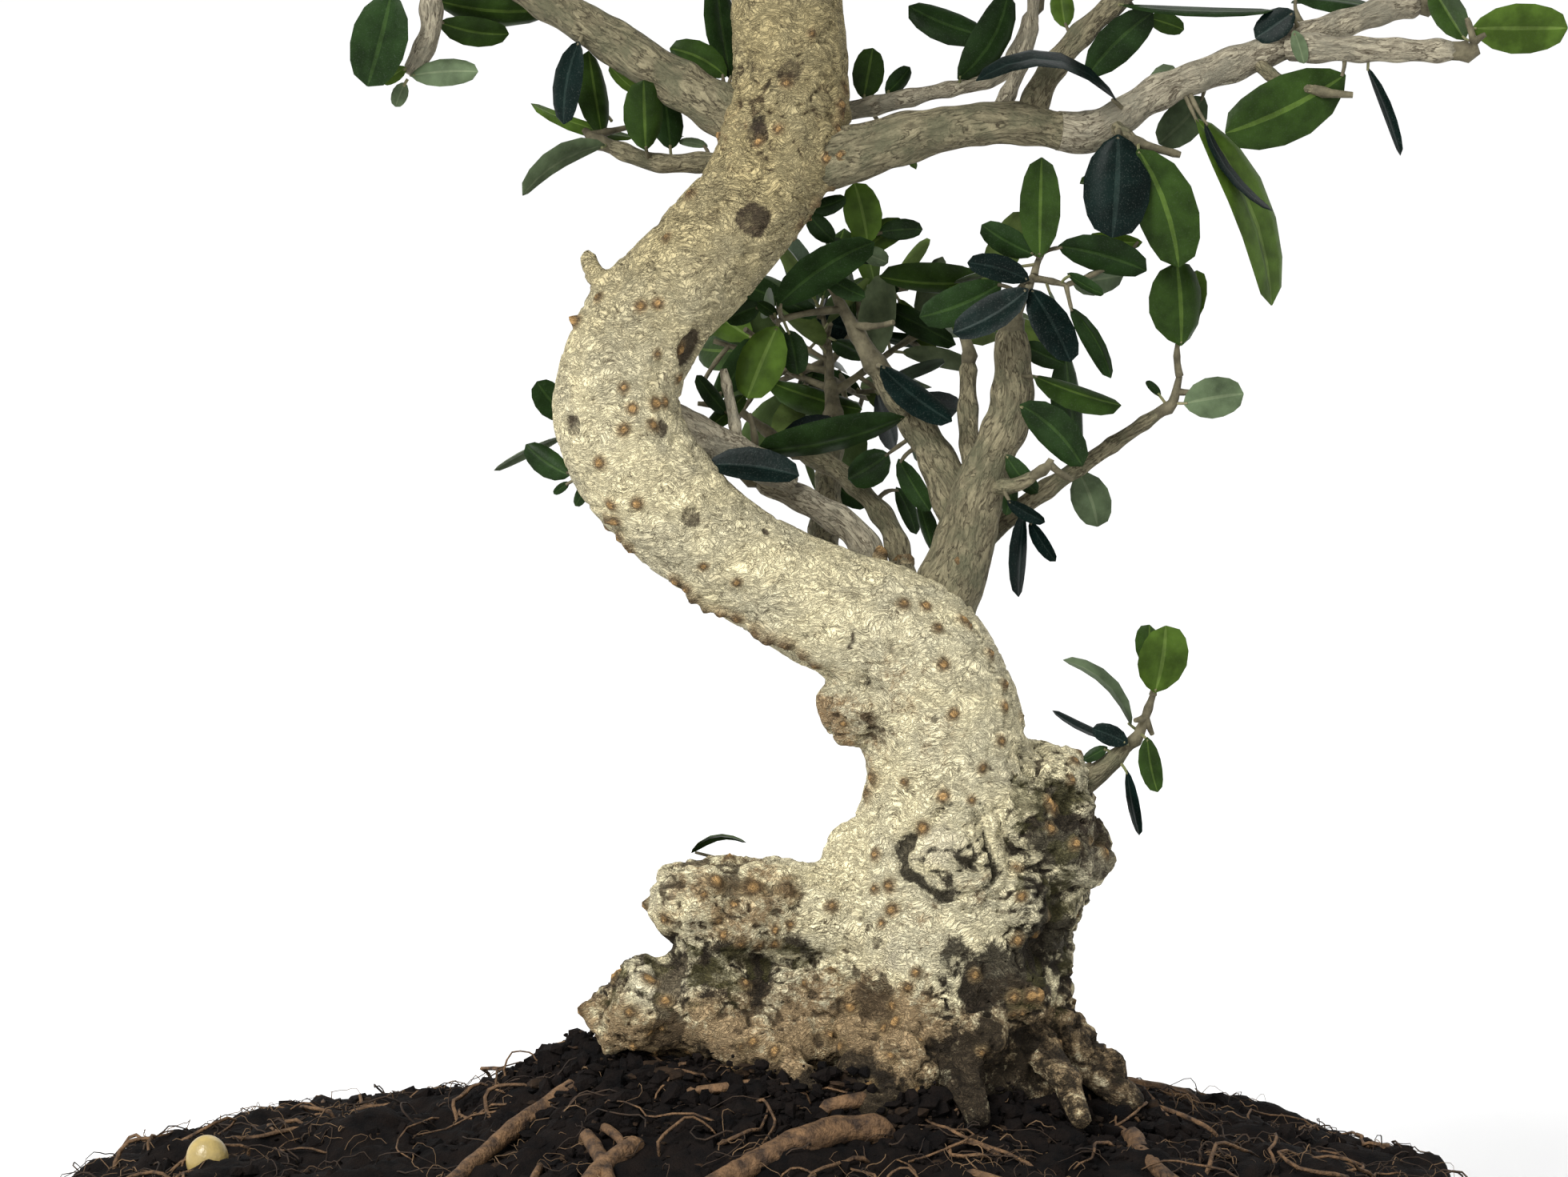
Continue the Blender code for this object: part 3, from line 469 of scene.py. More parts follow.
@dataclass(frozen=True)
class MottledFinish:
    """A matt surface of two close colours in soft blotches, with a fine grain that stands out of it."""

    name: str
    colour: Colour
    other: Colour
    blotch: float
    grain: float
    grain_depth: float
    roughness: float = 0.8
    specular: float = 0.3

    def made(self) -> Material:
        """The material: the colours mixed by noise, and a bump of finer noise."""
        sheet = Sheet(self.name, self.roughness, self.specular)
        place = sheet.place()
        share = sheet.ranged(sheet.noise(place, self.blotch, 4.0), 0.35, 0.65)
        sheet.bumped(sheet.noise(place, self.grain, 2.0), self.grain_depth)
        return sheet.coloured(sheet.mixed(share, self.colour, self.other))


@dataclass(frozen=True)
class BarkFinish:
    """Bark: cream over grey-green, a net of fine creases, and marks that the mesh's points carry, among them painted
    shade up the trunk, painted shadow under the stump and painted shade in the hollows and grooves.
    """

    name: str = "trunk_bark"
    cream: Colour = (0.98, 0.88, 0.56)
    grey: Colour = (0.80, 0.735, 0.50)
    tan: Colour = (0.36, 0.26, 0.130)
    # crease: the dark of the crease lines, partly painted shade, and of the painted shade in the hollows
    crease: Colour = (0.085, 0.058, 0.031)
    # shade is painted shade: it multiplies the upper trunk darker for the shade that the crown casts
    shade: Colour = (0.52, 0.48, 0.385)
    pore: Colour = (0.56, 0.34, 0.135)
    pore_rim: Colour = (0.15, 0.095, 0.045)
    dead_wood: Colour = (0.060, 0.042, 0.027)
    # the crusted and mossy colours below also paint the shadow under the stump
    crust_and_shade: Colour = (0.024, 0.018, 0.011)
    moss_and_shadow: Colour = (0.085, 0.078, 0.026)
    earth: Colour = (0.31, 0.195, 0.092)
    chalk: Colour = (0.84, 0.76, 0.54)
    net: float = 0.0025
    net_depth: float = 0.0021
    wrinkle: Row = (0.8, 0.8, 2.1)
    finer_net: float = 0.42

    def made(self) -> Material:
        """The material: noise mixes cream and grey, creases darken it, partly as the bark's dark fissures and partly as
        painted shade, then each carried mark lays its colour on.
        """
        sheet = Sheet(self.name, 0.85, 0.2)
        place = sheet.place()
        (pore, dead, moss_and_shadow), (earth, chalk, hollow), (shade, crust_and_shade, _) = (
            self.split(sheet, sheet.carried(name, "Color")) for name in ("marks", "grounds", "shade_and_crust_marks"))
        bent = sheet.warped(place, 0.006, 0.006)
        broad = sheet.ranged(sheet.noise(bent, 0.012, 4.0), 0.40, 0.62)
        fine = sheet.ranged(sheet.noise(place, 0.0019, 4.0, 0.75), 0.46, 0.66)
        patches = sheet.ranged(sheet.noise(place, 0.005, 3.0), 0.44, 0.60)
        wrinkled = sheet.stretched(bent, self.wrinkle)
        creases = sheet.times(sheet.creases(wrinkled, self.net, 0.026), patches)
        finer = sheet.creases(wrinkled, self.net * self.finer_net, 0.030)
        colour = sheet.mixed(broad, self.cream, self.grey)
        # the crease lines follow the bump's grooves: partly the bark's dark fissures, partly painted shade
        for share, strength, tint in ((fine, 0.24, self.tan), (creases, 0.92, self.crease), (finer, 0.20, self.crease)):
            colour = sheet.mixed(sheet.times(share, strength), colour, tint)
        # painted shade: the upper trunk is multiplied darker by the shade share
        colour = sheet.mixed(shade, colour, self.shade, "MULTIPLY")
        ragged = sheet.noise(place, 0.0030, 5.0, 0.8)
        # the hollow mark lays painted shade in the bark's hollows; the crusted and mossy marks carry painted shadow
        # under the stump too
        for mark, tint, strength, fray in ((earth, self.earth, 0.85, 0.62), (chalk, self.chalk, 0.75, 0.42),
                                           (hollow, self.crease, 0.85, 0.42), (crust_and_shade, self.crust_and_shade, 0.92, 0.62),
                                           (moss_and_shadow, self.moss_and_shadow, 0.6, 0.62), (dead, self.dead_wood, 0.92, 0.22)):
            edge = sheet.sum_of(mark, sheet.ranged(ragged, 0.25, 0.75, -fray, fray))
            colour = sheet.mixed(sheet.ranged(edge, 0.30, 0.72, 0.0, strength), colour, tint)
        for low, high, strength, tint in ((0.005, 0.12, 0.55, self.tan), (0.12, 0.34, 0.85, self.pore_rim),
                                          (0.40, 0.62, 0.9, self.pore)):
            colour = sheet.mixed(sheet.ranged(pore, low, high, 0.0, strength), colour, tint)
        lines = sheet.sum_of(sheet.creases(wrinkled, self.net, 0.05),
                             sheet.creases(wrinkled, self.net * self.finer_net, 0.06))
        height = sheet.sum_of(sheet.noise(wrinkled, 0.0021, 4.0, 0.65), sheet.times(lines, 0.22), "SUBTRACT")
        sheet.bumped(height, self.net_depth)
        return sheet.coloured(colour)

    @staticmethod
    def split(sheet: Sheet, colour: Socket) -> Iterator[Socket]:
        """The three numbers held in a carried colour."""
        return iter(sheet.laid("SeparateColor", {0: colour}).node.outputs[:3])


@dataclass(frozen=True)
class BoughFinish:
    """Bough bark: furrowed lengthwise; paler on the ridges and dark in the furrows, partly the bark's own colours and
    partly painted light and shade.
    """

    name: str
    ridge: Colour
    furrow: Colour
    patch: Colour
    furrow_size: float = 0.0007
    depth: float = 0.0012

    def made(self) -> Material:
        """The material: furrows follow the carried lengthwise place, and patches of a third colour lie over."""
        sheet = Sheet(self.name, 0.82, 0.25)
        along = sheet.warped(sheet.carried("bark_place"), 0.004, 0.003)
        furrows = sheet.noise(along, self.furrow_size, 4.0, 0.7)
        creases = sheet.creases(along, self.furrow_size * 2.0, 0.035)
        # painted light and shade: the colour follows the bump, pale on the ridges and dark in the furrows and crease
        # lines
        colour = sheet.mixed(sheet.ranged(furrows, 0.36, 0.60, 0.30, 1.0), self.furrow, self.ridge)
        colour = sheet.mixed(sheet.times(creases, 0.95), colour, self.furrow)
        patches = sheet.ranged(sheet.noise(sheet.place(), 0.006, 4.0, 0.65), 0.46, 0.64, 0.0, 0.8)
        sheet.bumped(furrows, self.depth)
        return sheet.coloured(sheet.mixed(patches, colour, self.patch))


@dataclass(frozen=True)
class LeafFinish:
    """A leathery leaf face: an even green with a faint dust of pale specks."""

    name: str
    colour: Colour
    specks: float
    roughness: float
    dust: Colour = (0.30, 0.34, 0.30)
    speck: float = 0.00026

    def made(self) -> Material:
        """The material: noise darkens and lightens the green a little, and its highest peaks are dust."""
        sheet = Sheet(self.name, self.roughness, 0.06)
        place = sheet.place()
        dark = tuple(c * 0.62 for c in self.colour)
        light = tuple(c * 1.35 for c in self.colour)
        shade = sheet.mixed(sheet.ranged(sheet.noise(place, 0.006, 3.0), 0.35, 0.65), dark, light)
        dust = sheet.ranged(sheet.noise(place, self.speck, 1.0), 0.58, 0.72, 0.0, self.specks)
        sheet.bumped(sheet.noise(place, 0.0011, 2.0), 0.00006)
        return sheet.coloured(sheet.mixed(dust, shade, self.dust))


class Tone(Enum):
    """The colours that leaves come in: upper face, underside and rib, and how dusty and how dull each is; the mid and
    light greens are lighter partly as painted light shining through the blade.
    """

    DARK = ((0.0120, 0.0270, 0.0070), (0.045, 0.070, 0.022), (0.024, 0.048, 0.012), 0.04, 0.34)
    # mid green: partly the leaf's own tone, partly painted light shining through the blade
    GREEN = ((0.0190, 0.0390, 0.0066), (0.068, 0.098, 0.026), (0.052, 0.088, 0.016), 0.03, 0.38)
    # light green: partly a lighter leaf tone, partly painted light shining through the blade
    FRESH_AND_BACKLIT = ((0.0500, 0.0900, 0.0120), (0.092, 0.140, 0.030), (0.095, 0.148, 0.030), 0.02, 0.42)
    BLUE = ((0.0024, 0.0075, 0.0062), (0.036, 0.052, 0.032), (0.010, 0.019, 0.016), 0.06, 0.36)
    GREY = ((0.0720, 0.1000, 0.0520), (0.088, 0.112, 0.060), (0.108, 0.138, 0.076), 0.06, 0.52)

    @property
    def finishes(self) -> list[LeafFinish]:
        """The upper face's, rib's and underside's finishes."""
        upper, under, rib, specks, dull = self.value
        stem = f"leaf_{self.name.lower()}"
        return [LeafFinish(f"{stem}_upper", upper, specks, dull), LeafFinish(f"{stem}_rib", rib, 0.05, dull),
                LeafFinish(f"{stem}_underside", under, 0.05, 0.7)]


SOIL_FINE = MottledFinish("soil_fine", (0.0030, 0.0027, 0.0028), (0.0090, 0.0062, 0.0050), 0.004, 0.0006, 0.0004,
                          0.95, 0.1)
SOIL_BROWN = MottledFinish("soil_brown", (0.011, 0.008, 0.006), (0.036, 0.022, 0.013), 0.003, 0.0005, 0.0003, 0.92, 0.1)
ROOT_TAN = MottledFinish("rootlet_tan", (0.21, 0.130, 0.066), (0.070, 0.042, 0.023), 0.005, 0.0006, 0.0002)
ROOT_DARK = MottledFinish("rootlet_dark", (0.048, 0.029, 0.017), (0.015, 0.010, 0.007), 0.005, 0.0006, 0.0002)
ROOT_RED = MottledFinish("root_bark", (0.185, 0.105, 0.050), (0.034, 0.020, 0.012), 0.0028, 0.0008, 0.0006)
STALK_GREEN = MottledFinish("leaf_stalk", (0.135, 0.150, 0.060), (0.20, 0.175, 0.095), 0.003, 0.0005, 0.0001, 0.6)
TWIG_GREY = MottledFinish("twig_bark", (0.150, 0.132, 0.080), (0.060, 0.052, 0.030), 0.003, 0.0006, 0.0002)
BEAD_AMBER = MottledFinish("amber_bead", (0.46, 0.34, 0.115), (0.33, 0.25, 0.095), 0.003, 0.0008, 0.0001, 0.3, 0.5)
FLOOR_WHITE = MottledFinish("studio_floor", (0.955, 0.955, 0.955), (0.965, 0.965, 0.965), 0.5, 0.05, 0.0, 0.9, 0.1)
# ridge and furrow colours: partly the bark's own, partly painted light on the ridges and painted shade in the furrows
BOUGH_BROWN = BoughFinish("bough_brown", (0.270, 0.238, 0.145), (0.030, 0.023, 0.012), (0.105, 0.104, 0.060))
BOUGH_PALE = BoughFinish("bough_pale", (0.440, 0.395, 0.285), (0.060, 0.046, 0.028), (0.22, 0.205, 0.150))


# ---- the trunk


FOOT = 0.0620


def metres(table: float | Sequence) -> float | tuple:
    """A table in millimetres, however nested, as tuples in metres; rounding keeps every number exact."""
    return round(table * MM, 7) if isinstance(table, (int, float)) else tuple(map(metres, table))


TRUNK_STATIONS = ((0.0327, 0.0, FOOT - 0.004, 0.0275), *metres((
    (32.8, 0, 73, 25.2), (33.2, -1, 86, 23.2), (34, -2, 99, 20.5), (35.2, -3, 112, 17.2), (35.2, -4, 122, 15.5),
    (33, -5, 133, 15), (26.2, -6, 144, 14), (13, -8, 150.8, 11.8), (-2, -10, 159.2, 10.6), (-15, -12, 169, 11),
    (-23.8, -12, 180, 11.7), (-26.2, -11, 191, 11.7), (-21.5, -9, 203.5, 11.4), (-11, -6, 215.5, 10.9),
    (-1, -3, 227.5, 10.7), (4.5, 0, 239, 11.8), (5.6, 2, 251, 10.9), (5, 4, 266, 10.3), (7.5, 5, 286, 8.5),
    (15, 3, 312, 6), (13, 0, 335, 4), (8, 0, 358, 2.2),
)))
# The stump, the knee, the roots at the right, back and front, the dead spur and the cut stub.
TRUNK_BRANCHES = metres((
    ((24, -3, 90, 12), (8, -6, 93, 10.4), (-7, -9, 95.3, 9.2), (-14, -11, 96, 8.6), (-17.8, -12, 96.2, 6.2)),
    ((20, -6, 72, 12), (4.5, -10, 75.5, 10.4), (-10, -13, 77, 9.2), (-22, -14, 76.5, 8), (-29.5, -14, 73, 5.2)),
    ((44, -4, 79, 9), (55, -7, 72.5, 5.4), (63, -10, 65, 4), (70, -12, 58, 2.8)),
    ((34, 6, 78, 11), (27, 26, 70, 7.8), (20, 44, 59, 3.6)),
    ((30, -8, 74, 11), (26, -22, 69, 8), (19, -36, 60, 4.6)),
    ((-26, -10, 209.5, 2.6), (-30, -10, 212.5, 1.9), (-32, -10, 217, 1.3)),
    ((44, -3, 106, 10), (54.5, -7, 106.2, 9.2), (61.2, -11, 108, 7.8)),
))
# Roots that leave the foot in front and go down into the soil.
FOOT_ROOTS = metres((
    ((-15, -14, 76, 4.8), (-4, -20, 71.5, 4.4), (7, -27, 66, 3.6), (14, -34, 59, 2.6)),
    ((35, -14, 76, 5), (37, -26, 68, 3.6), (40, -36, 60, 2.4)),
    ((20, -16, 74, 4.6), (18, -26, 68, 3.6), (15, -35, 61, 2.6)),
    ((48, -10, 74, 4.6), (55, -22, 67, 3), (59, -32, 59, 2)),
))
BURLS = metres((
    ((52.5, 1, 115.5), (10.5, 10.5, 9.8)), ((19, -8, 133.5), (8.2, 7.6, 7.8)), ((34.8, -14, 105.2), (10, 7.5, 10)),
    ((50, -1, 83), (9.2, 13, 15)), ((22, 12, 82), (13, 12, 14)),
))
# Knots that swell the foot a little more than its main burls do: centre and half-sizes.
KNOTS = metres((
    ((46.5, -19, 80), (7.5, 6, 6)), ((40.5, -23, 73.5), (6, 5.5, 5)), ((13, -15, 79), (7, 6, 5.5)),
    ((-11, -14, 86), (6, 5, 4)), ((54.5, -9, 119.5), (5, 5, 4.5)), ((57, 2, 97.5), (5, 7, 8)),
    ((21.5, -9, 136), (5, 6, 4.5)), ((18.5, -4, 103.5), (6.8, 8, 7.8)), ((-16, -13.5, 98.5), (3.8, 5, 3.6)),
    ((-21.5, -14, 83), (5, 5, 4.5)), ((2, -12, 96.8), (6, 6, 3.8)), ((50.5, 4, 78), (5.5, 8, 7)),
    ((56.5, -4, 116.5), (5.5, 7.5, 7.5)), ((54, -6, 96), (6, 8.5, 7.5)), ((50, -13, 111), (7, 6.5, 9)),
    ((48, -15, 96), (6.5, 6, 8)), ((22.5, -6, 132), (6.5, 7, 8.5)), ((-10, -11.5, 95.5), (8, 8.8, 8.6)),
    ((-19.5, -15, 76.5), (10, 9, 8.5)), ((-4, -11, 93), (9, 8.5, 8)), ((40, -16, 76), (9, 7.5, 7)),
    ((6, -15, 70), (11, 8, 7)),
))
# Pores of the bark on the best side: x and z in millimetres.
PORES = (
    (-17.7, 198.5), (-24.0, 193.3), (-22.5, 189.5), (-24.0, 185.8), (-18.0, 208.3), (-21.7, 208.3), (-17.7, 221.0),
    (-10.1, 158.8), (-4.5, 155.8), (-27.8, 170.0), (-27.0, 167.0), (-24.0, 161.8), (34.5, 142.3), (36.8, 132.8),
    (45.0, 127.7), (42.0, 122.8), (33.0, 118.2), (20.3, 106.3), (20.3, 100.3), (23.3, 101.0), (21.8, 94.3),
    (13.5, 97.3), (3.8, 92.0), (27.0, 153.5), (30.8, 153.5), (38.3, 150.1), (-18.6, 186.1), (-34.2, 205.0),
    (-16.5, 190.2), (23.6, 97.2), (-22.9, 170.6), (14.6, 236.0), (16.2, 244.4), (15.6, 240.2), (3.0, 240.5),
    (-1.2, 238.0), (29.0, 111.5), (25.5, 119.4), (46.4, 133.6), (33.4, 149.0),
)
# Knobs that break the outline: x, z, radius and height in millimetres.
KNOBS = (
    (-16.2, 156.6, 1.2, 0.8), (-12.4, 153.2, 1.6, 1.4), (-10.2, 151.6, 1.5, 1.3), (-7.4, 150.4, 1.4, 1.2),
    (-4.6, 149.2, 1.3, 0.9), (-1.2, 147.2, 1.6, 1.4), (1.6, 145.6, 1.6, 1.5), (4.4, 144.4, 1.5, 1.3),
    (7.2, 142.6, 1.3, 1.0), (9.8, 140.4, 1.1, 0.8), (-28.4, 167.4, 1.1, 0.9), (-26.6, 164.6, 1.1, 0.9),
    (-24.6, 162.6, 1.1, 0.8), (-34.6, 204.8, 1.0, 0.9), (-30.6, 209.2, 0.9, 0.7), (43.6, 143.4, 1.0, 0.8),
    (46.4, 138.0, 1.0, 0.8), (49.4, 131.6, 1.0, 0.8), (16.4, 243.4, 1.4, 0.9), (17.0, 247.4, 1.2, 0.8),
    (11.0, 225.6, 1.2, 0.9), (13.6, 228.4, 1.3, 1.0), (8.4, 222.0, 1.1, 0.8), (-13.0, 228.6, 1.1, 0.8),
    (20.6, 120.0, 1.6, 1.0), (19.0, 117.0, 1.6, 1.0), (37.6, 160.6, 1.6, 1.1), (29.6, 160.8, 1.8, 1.2),
    (22.6, 161.8, 1.6, 1.1), (5.6, 100.2, 2.0, 1.2), (-1.0, 101.2, 1.8, 1.2), (-7.6, 102.2, 1.7, 1.2),
)


@dataclass
class Scar:
    """A mark left by a lost limb: x, z and radius in millimetres, its depth, and how dark it has gone."""

    x: float
    z: float
    radius: float
    depth: float
    dark: float
    ring: float = 0.0


SCARS = (
    Scar(-0.3, 222.5, 3.4, 0.30, 0.72), Scar(-11.7, 199.2, 3.7, 1.30, 1.0, 0.5),
    Scar(-35.2, 185.2, 2.2, 0.50, 0.62, 0.5), Scar(-11.4, 169.2, 2.0, 0.60, 0.60, 0.4),
    Scar(5.8, 251.2, 2.6, 0.35, 0.60), Scar(-0.8, 240.0, 2.6, 0.50, 0.66, 0.3),
    Scar(2.2, 167.0, 0.8, 0.40, 0.9), Scar(-9.2, 225.0, 1.8, 0.40, 0.45, 0.4), Scar(-17.2, 186.0, 1.6, 0.40, 0.7),
    Scar(-8.6, 258.4, 1.6, 0.40, 0.60), Scar(23.6, 146.0, 1.5, 0.40, 0.45), Scar(31.4, 131.4, 0.9, 0.30, 0.6),
)


@dataclass
class Trunk:
    """The trunk with its stubs, burls and root flare as one barked skin."""

    voxel: float = 0.00076
    corners: int = 40
    spacing: float = 0.0012
    smoothing: int = 6
    eye: tuple[float, float] = (0.0348, 0.1064)
    eye_radius: float = 0.0086
    eye_squash: float = 1.08
    eye_seed: int = 37
    cut_centre: tuple[float, float, float] = (0.0632, -0.0112, 0.1060)
    cut_radius: float = 0.0080
    crack: tuple[Row, Row] = ((20.3, 159.5), (16.5, 144.5))
    wild_pores: int = 70
    knobbly_pores: int = 170
    collar_reach: float = 3.4
    foot_fade: float = 0.003
    seed: int = 11
    # Bells of earth and of chalk: strength, centre and reach.
    earthy: tuple[tuple[float, Row, float], ...] = (
        (0.85, (0.0145, -0.01, 0.1285), 0.0105), (0.6, (0.0260, -0.017, 0.1385), 0.0070),
        (0.45, (0.0345, -0.019, 0.1270), 0.0045), (0.5, (0.0290, -0.024, 0.0945), 0.0065),
        (0.55, (0.0385, -0.024, 0.1010), 0.0060), (0.5, (-0.0040, -0.020, 0.1000), 0.0110),
        (0.6, (-0.0010, 0.0, 0.2400), 0.0090),
    )
    chalky: tuple[tuple[float, Row, float], ...] = (
        (0.55, (0.0240, -0.022, 0.0890), 0.0055), (0.75, (0.0322, -0.021, 0.1090), 0.0055),
        (0.95, (-0.0190, -0.022, 0.0850), 0.0070), (0.6, (-0.0205, -0.014, 0.0990), 0.0060),
    )

    def round_body(self, stations: Sequence[Row], open_foot: bool = False) -> Surface:
        """One round limb: the smooth route at even spacing with ball ends, a flat foot where asked."""
        route = resampled(smooth_route(stations, 12), self.spacing)
        ended = rounded_ends(route, bulge=0.3)[4 if open_foot else 0:]
        return tubes(ended[None, :, :3], ended[None, :, 3], self.corners)

    def collar(self, limb: "Limb") -> Surface:
        """The swelling that a bough grows out of: its first part, fatter at the base and slimmer at the end."""
        route = resampled(smooth_route(limb.stations(), 10), self.spacing)
        route = route[lengths_along(route) < self.collar_reach * limb.base]
        route[:, 3] *= np.linspace(1.30, 0.86, len(route))
        ended = rounded_ends(route)
        return tubes(ended[None, :, :3], ended[None, :, 3], 24)

    def fused(self) -> tuple[Array, Array, Array]:
        """The limbs and burls merged into one even skin and smoothed.

        Returns:
            Points, outward normals and the corners of the four-sided faces.
        """
        bodies = [self.round_body(TRUNK_STATIONS, open_foot=True)]
        bodies += [self.round_body(stations) for stations in (*TRUNK_BRANCHES, *FOOT_ROOTS)]
        bodies += [ball(centre, sizes) for centre, sizes in (*BURLS, *KNOTS)]
        bodies += [self.collar(limb) for limb in LIMBS if limb.parent == "trunk"]
        rough = Surface.merged(bodies).to_object("trunk_rough", [])
        remesh = rough.modifiers.new("one_skin", "REMESH")
        remesh.mode, remesh.voxel_size = "VOXEL", self.voxel
        smooth = rough.modifiers.new("smooth", "SMOOTH")
        smooth.factor, smooth.iterations = 0.5, self.smoothing
        mesh = bpy.data.meshes.new_from_object(rough.evaluated_get(bpy.context.evaluated_depsgraph_get()))
        bpy.data.objects.remove(rough)
        found = []
        for items, key, width, kind in ((mesh.vertices, "co", 3, np.float32), (mesh.vertices, "normal", 3, np.float32),
                                        (mesh.loops, "vertex_index", 1, np.int32)):
            found.append(np.zeros(len(items) * width, kind))
            items.foreach_get(key, found[-1])
        bpy.data.meshes.remove(mesh)
        points, normals, corners = found
        return points.reshape(-1, 3).astype(float), normals.reshape(-1, 3).astype(float), corners.reshape(-1, 4)

    def spot(self, points: Array, normals: Array, x: float, z: float) -> Array:
        """The skin's point seen at x and z from the best side, or the nearest to it on the outline."""
        gap = np.hypot(points[:, 0] - x, points[:, 2] - z)
        seen = (gap < 0.0012) & (normals[:, 1] < 0.2)
        if not seen.any():
            return points[np.argmin(gap)]
        return points[np.argmin(np.where(seen, points[:, 1], 9.0))]

    def near(self, points: Array, spot: Row | Array, radius: float) -> Array:
        """A bell about a spot: e to the minus square of distance over radius."""
        return np.exp(-((points - spot) ** 2).sum(1) / radius ** 2)

    def roughness(self, points: Array) -> Array:
        """How knobbly the bark is, from 0 to 1: full about the foot, stump, right side, burl and fork."""
        x, _, z = points.T
        foot = 0.9 * eased(z, 0.098, 0.080)
        stump = eased(x, 0.014, 0.002) * eased(z, 0.114, 0.106)
        right = eased(x, 0.041, 0.049) * eased(z, 0.130, 0.121)
        burl = np.clip(1.5 * self.near(points, (0.0150, -0.008, 0.1315), 0.010), 0, 1)
        fork = 0.8 * self.near(points, (0.0040, -0.006, 0.2430), 0.012)
        return np.clip(np.maximum.reduce([foot, stump, right, burl, fork]), 0, 1)

    def relief(self, points: Array, normals: Array) -> tuple[Array, Array, Array]:
        """How far the bark stands out, and the painted shade of its hollows.

        The height is broad noise, plus lumps of noise and of cells where the bark is knobbly, less creases where
        noise crosses 0, plus the ring and folds of the healed eye.

        Args:
            points: Places on the skin.
            normals: Outward directions.

        Returns:
            Height in metres, a share from 0 to 1 of painted shade that is high in the hollows, and one of painted shade
            in the eye's grooves.
        """
        rough = self.roughness(points)
        lumps = layered_noise(points, 0.0056, 8, 3)
        nearest, _ = cell_field(points, 0.0038, 21)
        knobs = np.clip(0.42 - nearest, 0, 1) * eased(value_noise(points, 0.009, 22), -0.2, 0.3)
        height = 0.00036 * layered_noise(points, 0.0105, 3)
        height += rough * (0.0014 * lumps + 0.0019 * knobs)
        crease = np.exp(-(layered_noise(points * np.array([0.8, 0.8, 1.9]), 0.0044, 44, 2) / 0.10) ** 2)
        height -= (0.00055 + 0.00045 * rough) * crease
        height += (0.00010 + 0.00020 * rough) * value_noise(points, 0.0015, 45)
        # painted shade: the relief's hollows and creases get a share that darkens them
        hollow = rough * (eased(-lumps, 0.22, 0.62) + 0.75 * crease - 0.4 * eased(knobs, 0.05, 0.3))
        hollow += 0.44 * crease * eased(value_noise(points, 0.008, 46), -0.3, 0.3)
        eye_height, eye_shade = self.healed_eye(points, normals)
        return height + eye_height, np.clip(hollow, 0, 1), np.clip(eye_shade, 0, 1)

    def healed_eye(self, points: Array, normals: Array) -> tuple[Array, Array]:
        """The grown-over wound: a ragged ring, a lip round it, and folds that close over a slit; painted shade darkens
        the ring, its outer groove, the slit and the cracks between the folds.

        The height is a bell-shaped lip outside the ring, less a bell-shaped groove on it, plus the tops of cells in
        the lower half, less the cracks between them and the slit.
        """
        across, above = points[:, 0] - self.eye[0], (points[:, 2] - self.eye[1]) * self.eye_squash
        bend = 0.0015 * value_noise(points, 0.0060, 77) + 0.0008 * value_noise(points, 0.0022, 79)
        out = np.hypot(across, above) + bend
        facing = eased(-normals[:, 1], 0.0, 0.35)
        gap = eased(value_noise(points, 0.0065, 81), -0.55, 0.10) * eased(0.75 * across + 0.65 * above, 0.0095, 0.0035)
        ring = (0.45 + 0.55 * gap) * np.exp(-((out - self.eye_radius) / (0.00045 + 0.00045 * gap)) ** 2)
        lip = np.exp(-((out - self.eye_radius - 0.0015) / 0.0009) ** 2)
        outer = eased(across, 0.001, 0.005) * np.exp(-((out - self.eye_radius - 0.0029) / 0.0003) ** 2)
        inside = eased(out, self.eye_radius, self.eye_radius - 0.0010)
        lower = eased(0.60 * across - 0.80 * above + 0.0015 * value_noise(points, 0.004, 80), -0.0044, -0.0010)
        bent = points + 0.0012 * value_noise(points, 0.0030, 82)[:, None]
        nearest, crack = cell_field(bent * np.array([0.8, 0.35, 1.35]), 0.0050, self.eye_seed)
        groove = lower * np.exp(-(crack / 0.11) ** 2)
        slit = np.exp(-(((above + 0.35 * across) / 0.0011) ** 2 + ((across - 0.0030) / 0.0026) ** 2))
        lobes = 0.0017 * lower * (0.75 - nearest) - 0.0011 * groove - 0.0024 * slit
        height = facing * (0.0009 * lip - 0.0014 * ring - 0.0005 * outer + inside * (0.0008 + lobes))
        # the second number is painted shade in the ring, the outer groove, the slit and the cracks
        return height, facing * (1.15 * ring + 0.55 * outer + inside * (1.4 * slit + 0.85 * groove))

